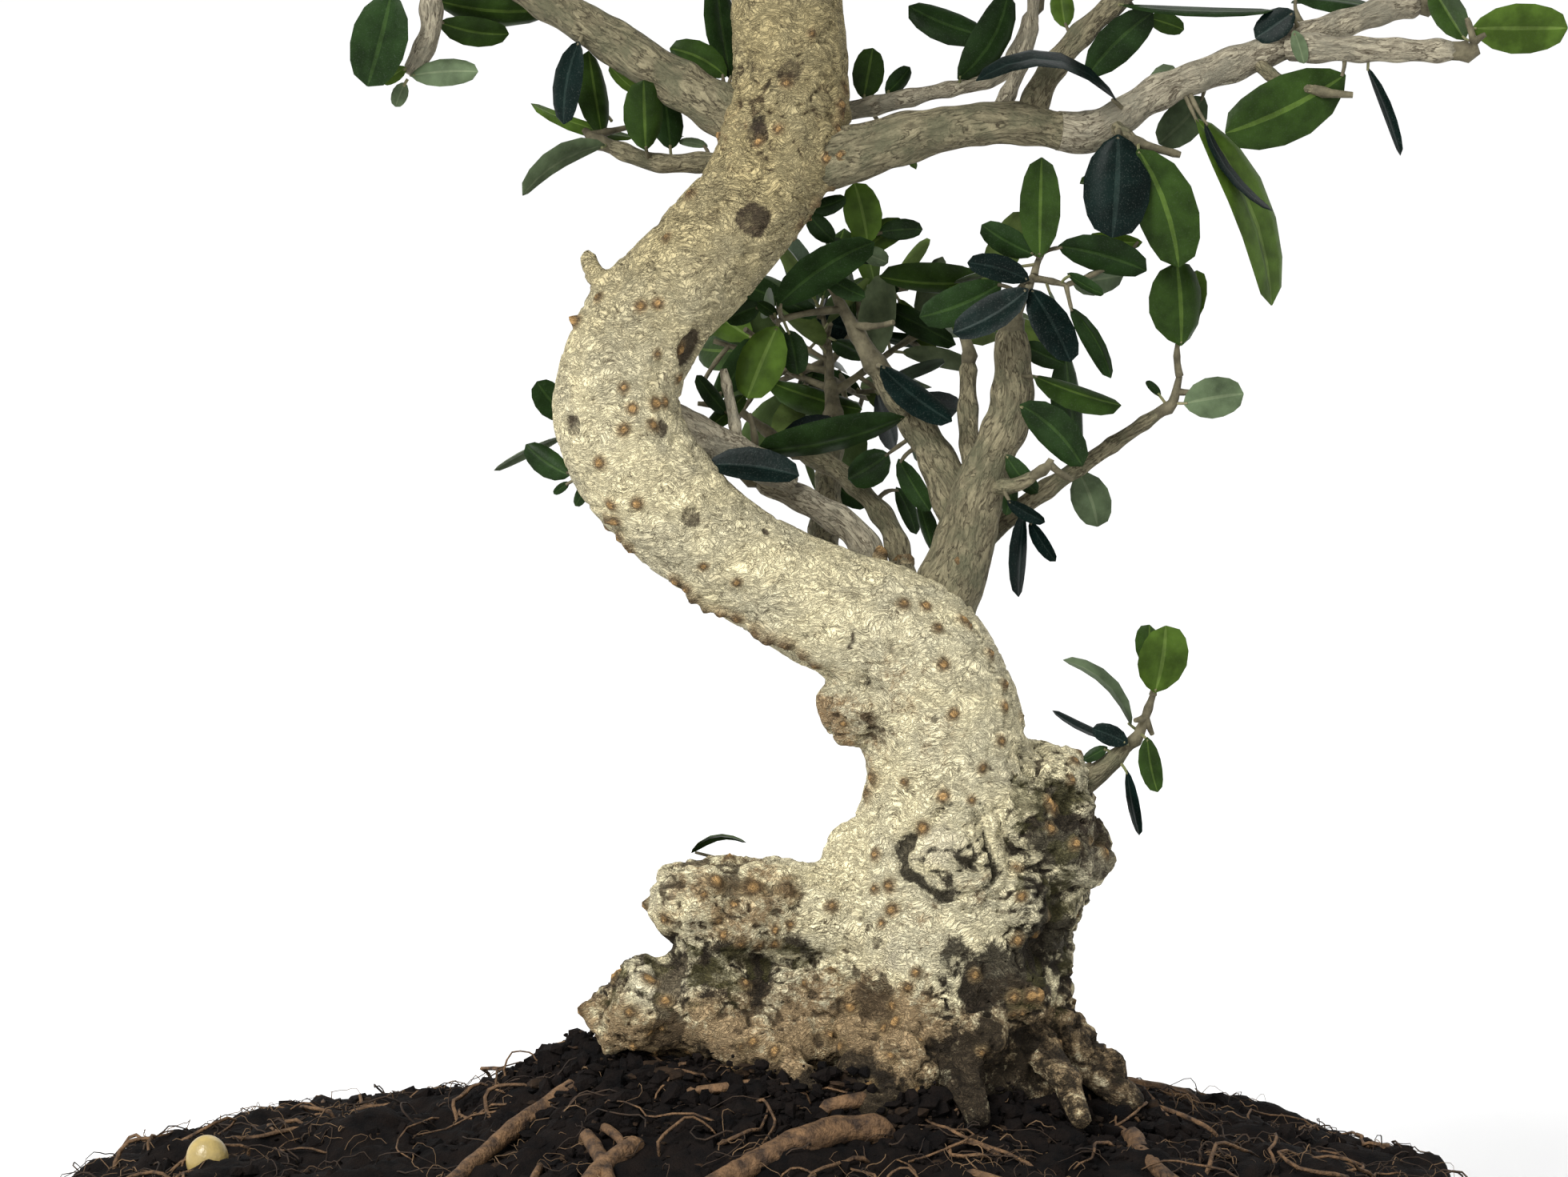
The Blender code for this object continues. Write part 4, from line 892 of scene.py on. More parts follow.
    def marked(self, points: Array, normals: Array) -> tuple[Array, Array, Array]:
        """Pores, knobs and scars.

        Args:
            points: Places on the skin.
            normals: Outward directions.

        Returns:
            Added height, and how far each point is pore and dead wood.
        """
        rng = random.Random(self.seed)
        height = np.zeros(len(points))
        pore, dead = np.zeros(len(points)), np.zeros(len(points))
        spots = [self.spot(points, normals, x * MM, z * MM) for x, z in PORES]
        spots += [points[rng.randrange(len(points))] for _ in range(self.wild_pores)]
        knobbly = np.flatnonzero(self.roughness(points) > 0.7)
        spots += [points[knobbly[rng.randrange(len(knobbly))]] for _ in range(self.knobbly_pores)]
        for spot in spots:
            size = rng.uniform(0.00070, 0.00112)
            bell = self.near(points, spot, size)
            height += 0.80 * size * bell
            pore = np.maximum(pore, bell * rng.uniform(0.6, 1.0))
        for x, z, radius, stand in KNOBS:
            bell = self.near(points, self.spot(points, normals, x * MM, z * MM), radius * MM)
            height += 1.35 * stand * MM * bell
            pore = np.maximum(pore, bell * rng.uniform(0.3, 0.7))
        for scar in SCARS:
            spot = self.spot(points, normals, scar.x * MM, scar.z * MM)
            out = np.linalg.norm(points - spot, axis=1) / (scar.radius * MM) + 0.22 * value_noise(points, 0.002, 91)
            inside = eased(out, 1.12, 0.88)
            height += MM * (-scar.depth * inside + scar.ring * np.exp(-((out - 1.25) / 0.25) ** 2))
            dead = np.maximum(dead, inside * scar.dark)
        (x0, z0), (x1, z1) = np.array(self.crack) * MM
        share = np.clip(((points[:, 0] - x0) * (x1 - x0) + (points[:, 2] - z0) * (z1 - z0))
                        / ((x1 - x0) ** 2 + (z1 - z0) ** 2), 0, 1)
        gap = np.hypot(points[:, 0] - x0 - share * (x1 - x0), points[:, 2] - z0 - share * (z1 - z0))
        line = np.exp(-((gap + 0.0005 * value_noise(points, 0.003, 92)) / 0.00035) ** 2) * (normals[:, 1] < 0)
        cut = np.linalg.norm(points - np.array(self.cut_centre), axis=1) / self.cut_radius
        facing = eased(normals @ unit(np.array([0.85, -0.52, 0.0])), 0.5, 0.8)
        face = eased(cut + 0.1 * value_noise(points, 0.003, 93), 1.02, 0.9) * facing
        height += -0.0004 * line + facing * 0.0007 * np.exp(-((cut - 1.05) / 0.1) ** 2) - 0.0005 * face
        return height, pore, np.maximum(dead, np.maximum(0.75 * line, 0.62 * face))

    def grounds(self, points: Array, lumps: Array) -> tuple[Array, Array, Array, Array, Array]:
        """Where mossy bark, earth, chalky bark, painted shade up the trunk and dark crusted bark lie: bands of height
        and bells about places.

        Args:
            points: Places on the skin.
            lumps: The bark's hollows, with their painted shade, which deepen the dark crusted bark.

        Returns:
            The shares of mossy bark, earth, chalk, painted shade up the trunk and dark crusted bark, the mossy and
            crusted ones with painted shadow under the stump.
        """
        x, _, z = points.T
        patch = eased(layered_noise(points, 0.006, 60), -0.35, 0.45)
        wander = 0.005 * layered_noise(points, 0.009, 61)
        right = eased(x, 0.043, 0.049) * eased(z, 0.125, 0.116)
        low_right = eased(x, 0.028, 0.037) * eased(z + wander, 0.0965, 0.0890)
        # painted shadow: a band under the stump that darkens the crusted and mossy marks
        under = eased(x, 0.016, 0.004) * eased(z, 0.0935, 0.0885) * eased(z, 0.0760, 0.0815)
        # painted shade: the crusted mark deepens in the hollows
        crust_and_shade = np.clip(np.maximum(right, low_right) + under, 0, 1) * (0.42 + 0.75 * np.maximum(patch, 1.3 * lumps))
        crust_and_shade = np.clip(crust_and_shade + 1.15 * eased(z + wander, 0.0745, 0.0665) * (0.35 + 0.65 * patch), 0, 1)
        fork = np.maximum(self.near(points, (0.0, -0.0110, 0.2420), 0.0085),
                          self.near(points, (-0.0060, -0.0080, 0.2500), 0.0060))
        crust_and_shade = np.maximum(crust_and_shade, 0.75 * fork * eased(layered_noise(points, 0.0035, 63), -0.15, 0.35))
        crust_and_shade = 0.96 * crust_and_shade * (1 - 0.35 * eased(z, 0.080, 0.074) * eased(x, 0.047, 0.053))
        # the mossy mark is damp bark on the right and painted shadow under the stump
        damp_and_shadow = np.maximum(right * eased(z, 0.072, 0.080), under)
        moss_and_shadow = np.clip(damp_and_shadow * eased(layered_noise(points, 0.004, 62), 0.0, 0.5), 0, 1)
        earth = eased(z + wander, 0.092, 0.074)
        earth = np.maximum(earth, 0.52 * eased(x + wander, 0.014, 0.0) * eased(z, 0.112, 0.100))
        for share, spot, reach in self.earthy:
            earth = np.maximum(earth, share * self.near(points, spot, reach))
        earth = np.clip(earth * (0.75 + 0.4 * patch), 0, 1)
        chalk = sum(share * self.near(points, spot, reach) for share, spot, reach in self.chalky)
        # painted shade: the trunk darkens upwards from about 145 mm, for the crown's shade
        shade = 0.15 * eased(z, 0.145, 0.165) + 0.85 * eased(z, 0.180, 0.235)
        bare = np.maximum(chalk, 0.8 * self.near(points, self.cut_centre, self.cut_radius)).clip(0, 1)
        return moss_and_shadow, earth * (1 - 0.8 * chalk).clip(0, 1), chalk.clip(0, 1), shade, crust_and_shade * (1 - bare)

    def build(self) -> Thing:
        """The finished trunk piece with the marks its bark carries."""
        points, normals, quads = self.fused()
        height, hollow, groove = self.relief(points, normals)
        marks_height, pore, dead = self.marked(points, normals)
        moss_and_shadow, earth, chalk, shade, crust_and_shade = self.grounds(points, hollow)
        above = eased(points[:, 2], FOOT, FOOT + self.foot_fade)
        skin = points + normals * ((height + marks_height) * above)[:, None]
        made = Surface.plain(skin, quads).to_object("trunk_bark", [BarkFinish().made()])
        full = np.ones(len(points))
        carry(made, "marks", pore, dead, moss_and_shadow, full)
        # the third number is the painted shade of the hollows
        carry(made, "grounds", earth, chalk, hollow, full)
        # third attribute: painted shade up the trunk, then the crusted bark with the painted shade of the eye's grooves
        carry(made, "shade_and_crust_marks", shade, np.maximum(crust_and_shade, groove), crust_and_shade, full)
        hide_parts("trunk")
        return settled(made, "bark")


def carry(piece: Thing, name: str, *columns: Array) -> None:
    """Gives the piece's points three numbers each, or a colour where there are four, under a name."""
    kind, key = ("FLOAT_VECTOR", "vector") if len(columns) == 3 else ("FLOAT_COLOR", "color")
    held = piece.data.attributes.new(name, kind, "POINT")
    held.data.foreach_set(key, np.stack(columns, axis=1).astype(np.float32).ravel())


def settled(piece: Thing, slot: str) -> Thing:
    """Rides a finished piece on the one body and reports it."""
    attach(piece, "root")
    LOG.info("%s: %d faces", piece.name, len(piece.data.polygons))
    return piece


# ---- the boughs


@dataclass(frozen=True)
class Limb:
    """A bough: its name, what it grows from, its radii at base and tip, and the points it passes."""

    name: str
    parent: str
    base: float
    tip: float
    route: tuple[Row, ...]

    def stations(self) -> Array:
        """The route with a radius that falls evenly over the distance."""
        points = np.array(self.route)
        along = lengths_along(points)
        return np.column_stack([points, self.base + (self.tip - self.base) * along / along[-1]])

    def rule_route(self) -> Array:
        """The route as the part's source draws it."""
        return smooth_route(self.stations(), 2)


LIMBS = tuple(Limb(name, parent, *metres(sizes)) for name, parent, *sizes in (
    ("left_bough", "trunk", 4.6, 3.2, ((3.8, 0, 239), (-6.8, 1, 243.5), (-18, 3, 250.2), (-28.5, 5, 257), (-40.5, 6,
     264.5), (-52, 6, 272))),
    ("low_left_bough", "trunk", 2.2, 1.6, ((1.5, 2, 233), (-9.8, 5, 233.8), (-19.5, 6, 233.8), (-28.5, 6, 237))),
    ("right_bough", "trunk", 4.7, 3.4, ((7.5, -2, 233.5), (17.2, -4, 235.3), (30, -6, 239), (45, -8, 241), (57, -9,
     239.2))),
    ("right_limb", "right_bough", 3.4, 2.6, ((55, -9, 239.5), (60, -8, 239.2), (65, -8, 241.2), (75, -6, 247.2),
     (91.5, -3, 253.2), (112.5, 0, 260.8), (122.2, 2, 263.3))),
    ("right_fork", "right_limb", 2.5, 2.1, ((98.5, -3, 255.2), (106, -8, 254.5), (128, -12, 254))),
    ("pale_bough", "trunk", 1.9, 1.4, ((9, 6, 242.5), (17.2, 9, 243.6), (30, 12, 246.5), (44.5, 14, 250), (49, 15,
     256), (51.5, 15, 262))),
    ("rising_bough", "right_bough", 2.6, 2, ((49, -8, 240), (53.5, -6, 250), (60, -4, 257.8), (67.5, -3, 264.5))),
    ("low_bough", "trunk", 6, 3, ((30.5, -2, 144), (36.8, 0, 158), (40, 0, 170), (44, -1, 180.5), (47, -2, 189),
     (46.8, -3, 203))),
    ("low_inner_bough", "low_bough", 4, 2.6, ((38.5, 2, 166), (34, 5, 177), (28, 8, 187), (22.5, 9, 194.8))),
    ("low_far_bough", "trunk", 2.6, 1.7, ((28, 6, 150), (25, 14, 164), (16, 18, 174.5), (8, 20, 178.5))),
    ("low_creased_bough", "trunk", 3, 2.4, ((24.5, 0, 150), (19, 3, 163), (11, 5, 169), (0, 6, 174.5))),
    ("low_shoot", "low_bough", 2, 1.6, ((40, 2, 176), (39.2, 7, 185), (39.3, 9, 196))),
    ("low_right_bough", "low_bough", 2.2, 1.3, ((38, 2, 161), (43, 5, 164.2), (52.5, 6, 171.5), (64.5, 4, 179.8), (75,
     2, 187.2))),
    ("hanging_twig", "right_limb", 1.5, 1.2, ((65, -8, 241), (66.5, -12.5, 239), (68.5, -14.5, 237.8))),
    ("right_spur", "right_limb", 1.3, 1.1, ((91, -3, 253.2), (95.5, -7.5, 249), (102, -10, 247))),
    ("low_side_twig", "low_bough", 1.5, 1.2, ((41.5, -1, 173), (47.5, -7, 174), (51, -9, 176))),
    ("bend_twig", "trunk", 1.6, 1.2, ((-16, -8, 170), (-22, 6, 175), (-28, 10, 180))),
    ("low_back_bough", "trunk", 3.6, 2.2, ((13, -4, 151), (12, 16, 160), (13, 31, 172), (14, 42, 184))),
    ("basal_shoot", "trunk", 2.8, 1.4, ((56, 0, 115), (63.8, -2, 120), (69, -3, 125))),
    ("upper_left_bough", "trunk", 4.2, 2.6, ((6, 4, 280), (-16, 6, 292), (-40, 8, 302))),
    ("upper_right_bough", "trunk", 4, 2.6, ((10, 4, 293), (34, 0, 304), (56, -4, 310))),
    ("upper_back_bough", "trunk", 4.2, 2.6, ((5, 4, 270), (9, 26, 280), (12, 46, 293))),
    ("upper_front_bough", "trunk", 3.6, 2.4, ((10, 4, 295), (4, -16, 305), (0, -34, 312))),
    ("shoulder_left_bough", "trunk", 2.8, 2, ((15, 2, 318), (-4, -4, 332), (-20, -8, 342))),
    ("shoulder_right_bough", "trunk", 2.8, 2, ((15, 2, 312), (28, 10, 328), (40, 14, 342))),
))
# Shoots too thin for a node of their own.
EXTRA_LIMBS = tuple(Limb(name, parent, *metres(sizes)) for name, parent, *sizes in (
    ("hanging_stub", "left_bough", 2.2, 1.9, ((-56, 5, 274), (-61, 3.5, 266), (-61.4, 2, 258), (-65, 1, 250))),
    ("grey_shoot", "rising_bough", 1.6, 1.2, ((44, -5, 242), (50, 4, 255.5), (51.5, 8, 268))),
    ("bend_spur", "low_creased_bough", 4.2, 2.6, ((-17, -8, 185), (-11, -6, 182.5), (-3, -3, 179), (6, 2, 174))),
    ("bend_shoot", "low_creased_bough", 1.2, 1, ((-4, -3.5, 179.5), (-4.8, -4.5, 186), (-6.8, -5, 195.5))),
))
PALE_LIMBS = {"right_limb", "right_fork", "pale_bough", "low_creased_bough", "bend_twig"}


@dataclass
class Boughs:
    """All the boughs with their collars, joints and furrowed bark."""

    corners: int = 18
    spacing: float = 0.0006
    collar: float = 0.20
    slimming: float = 0.91
    joint_gap: float = 0.0074
    joint_swell: float = 0.20
    extra: tuple[Limb, ...] = EXTRA_LIMBS

    def bark(self, limb: Limb, seed: int) -> tuple[Surface, Array]:
        """One bough's skin and the bark place of each of its points.

        The radius is the even taper, times one plus a collar that dies away from the base, plus a bell at every
        joint, plus lengthwise furrows of noise.

        Args:
            limb: The bough.
            seed: Picks its furrows.

        Returns:
            The surface, and three numbers for each point.
        """
        route = resampled(smooth_route(limb.stations(), 10), self.spacing)
        along, radius = lengths_along(route), route[:, 3]
        swell = self.collar * np.exp(-along / (2.4 * limb.base))
        for joint in np.arange(self.joint_gap * 0.8, along[-1], self.joint_gap):
            swell = swell + self.joint_swell * np.exp(-((along - joint) / (0.9 * radius)) ** 2)
        turn = turns_of(self.corners)
        place = np.stack(np.broadcast_arrays(radius[:, None] * np.cos(turn), radius[:, None] * np.sin(turn),
                                             along[:, None] * 0.3 + 0.05 * seed), axis=-1)
        furrow = layered_noise(place, 0.0016, seed, 2)
        lumps = layered_noise(place * np.array([1.0, 1.0, 2.4]), 0.0042, seed + 9, 2)
        skin = self.slimming * radius[:, None] * (1 + swell[:, None] + 0.10 * furrow + 0.09 * lumps)
        end = eased(along, along[-1], along[-1] - 0.0012)[:, None]
        skin = skin * (0.80 + 0.20 * end)
        surface = tubes(route[None, :, :3], skin[None], self.corners)
        return surface, np.vstack([place.reshape(-1, 3), place[0, :1], place[-1, :1]])

    def build(self) -> list[Thing]:
        """The brown boughs as one piece and the pale ones as another."""
        made = []
        for name, finish, pale in (("boughs_brown", BOUGH_BROWN, False), ("boughs_pale", BOUGH_PALE, True)):
            limbs = [x for x in (*LIMBS, *self.extra) if (x.name in PALE_LIMBS or x in self.extra) == pale]
            skins, places = zip(*(self.bark(limb, 100 + k) for k, limb in enumerate(limbs)))
            piece = Surface.merged(skins).to_object(name, [finish.made()], 70)
            carry(piece, "bark_place", *np.vstack(places).T)
            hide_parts(*(x.name for x in limbs if x not in self.extra))
            made.append(settled(piece, "bough_bark"))
        return made


# ---- foliage


@dataclass(frozen=True)
class Mass:
    """A mass of foliage; twigs is how many, or each one's tip and its pairs of leaves."""

    name: str
    limb: str
    centre: Row
    reach: float
    stem_end: Row
    seed: int
    twigs: int | tuple[Row, ...]
    leaf_scale: float = 1.0

    @classmethod
    def from_row(cls, name: str, limb: str, centre: Row, reach: float, stem_end: Row, seed: int,
                 twigs: int | tuple[Row, ...], leaf_scale: float = 1.0) -> "Mass":
        """A mass from a row whose lengths are in millimetres and whose name is short."""
        if not isinstance(twigs, int):
            twigs = tuple((*metres(place), pairs) for *place, pairs in twigs)
        return cls(f"leaves_{name}", limb, *metres((centre, reach, stem_end)), seed, twigs, leaf_scale)


MASSES = tuple(Mass.from_row(*row) for row in (
    ("left_far", "left_bough", (-60, 6, 270), 33, (-66, 6, 274), 151, ((-64.5, 0, 255.5, 3), (-69, -4, 262.5, 2),
     (-52, 12, 263, 2), (-80, 10, 278, 3), (-64, -8, 290, 3), (-50, 10, 288, 3), (-72, 22, 286, 3))),
    ("left_low", "low_left_bough", (-31, 9, 243), 23, (-33, 7, 240), 132, ((-33.5, 4, 244.5, 2), (-23, 13, 241, 2),
     (-37, 8, 237, 1))),
    ("right_hanging", "hanging_twig", (72, -16, 225), 29, (77, -16, 235), 146, ((65, -19, 233, 1), (70, -16, 231, 2),
     (81, -13, 236, 2))),
    ("right_under", "right_spur", (101, -11, 242), 20, (109, -11, 246), 55, ((105, -10, 246.5, 1), (111, -10, 246,
     1))),
    ("right_tip", "right_fork", (138, -12, 258), 18, (131, -12, 255.5), 190, ((133, -13, 257, 1), (130, -10, 260,
     1))),
    ("right_top", "right_limb", (118, 6, 275), 25, (124, 4, 270), 15, ((124, 2, 282, 3), (114, 12, 280, 3), (132, 10,
     276, 2), (106, 6, 272, 3))),
    ("pale_bough", "pale_bough", (37, 17, 268), 27, (48, 16, 270), 98, ((42, 12, 260, 3), (31, 14, 264, 3), (44, 22,
     282, 3), (56, 16, 280, 3), (25, 16, 256, 2))),
    ("rising_bough", "rising_bough", (78, -4, 272), 27, (74, -3, 270), 160, ((68, -8, 258, 2), (78, -8, 262, 2), (90,
     -6, 265, 2), (84, 4, 276, 3), (76, -4, 288, 3))),
    ("low_inner", "low_inner_bough", (14, 9, 206), 30, (13, 11, 211), 125, ((18, 8, 219, 2), (10, 4, 214, 2), (26, 12,
     211, 3), (3, 8, 204, 3), (12, 0, 200, 2), (6, 18, 196, 3), (25, 2, 204, 2))),
    ("low_front", "low_bough", (52, -6, 210), 26, (51, -4, 213), 199, ((52.5, -3, 217, 1), (50, -8, 211, 1), (57, -3,
     211, 2), (57, -1, 200, 3))),
    ("low_shoot", "low_shoot", (36, 24, 206), 26, (37, 18, 206), 37, ((31, 16, 205, 3), (35, 24, 214, 2), (42, 20,
     208, 2))),
    ("low_far", "low_far_bough", (-4, 26, 185), 25, (-6, 24, 188), 26, ((-4, 16, 193, 2), (2, 18, 180, 2), (-12, 22,
     188, 3))),
    ("low_creased", "low_creased_bough", (3, 0, 182), 20, (-1, 3, 179), 59, ((9, -2, 182, 1), (6, 2, 177, 1), (-2, 0,
     187, 2))),
    ("low_side", "low_side_twig", (56, -10, 175), 21, (54, -10, 179), 73, ((57, -10, 184, 2), (58, -8, 175, 2), (51,
     -12, 167, 2)), 0.85),
    ("low_right", "low_right_bough", (79, 1, 197), 21, (78.5, 1, 194), 37, ((78, 0, 200, 1), (82, 1, 191, 1)), 0.85),
    ("behind_bend", "bend_twig", (-38, 12, 184), 18, (-34.5, 13, 185.5), 24, ((-35, 11, 190, 1), (-38, 12, 182, 1)),
     0.75),
    ("low_back", "low_back_bough", (14, 56, 197), 29, (13, 52, 196), 63, 7),
    ("basal", "basal_shoot", (70, -5, 130), 20, (73.5, -4, 134.5), 138, ((74, -4, 136.5, 1), (70, -6, 130, 1), (73.5,
     -3, 127, 1), (70, -2, 127, 1)), 0.66),
    ("upper_left", "upper_left_bough", (-50, 10, 313), 33, (-52, 10, 314), 26, 5),
    ("upper_right", "upper_right_bough", (70, -6, 319), 33, (71, -6, 319), 27, 5),
    ("upper_back", "upper_back_bough", (14, 62, 305), 34, (14, 62, 306), 28, 5),
    ("upper_front", "upper_front_bough", (-1, -46, 322), 31, (-2, -46, 322), 29, 5),
    ("shoulder_left", "shoulder_left_bough", (-31, -10, 353), 29, (-31, -10, 352), 30, 5),
    ("shoulder_right", "shoulder_right_bough", (49, 17, 353), 29, (48, 16, 352), 31, 5),
    ("top", "trunk", (7, 0, 373), 27, (7, 0, 374), 32, 6),
))
# The masses whose leaves stand where PLACED_LEAVES says; the others' leaves follow the rule alone.
PLACED_MASSES = {mass.name for mass in MASSES if not isinstance(mass.twigs, int)}
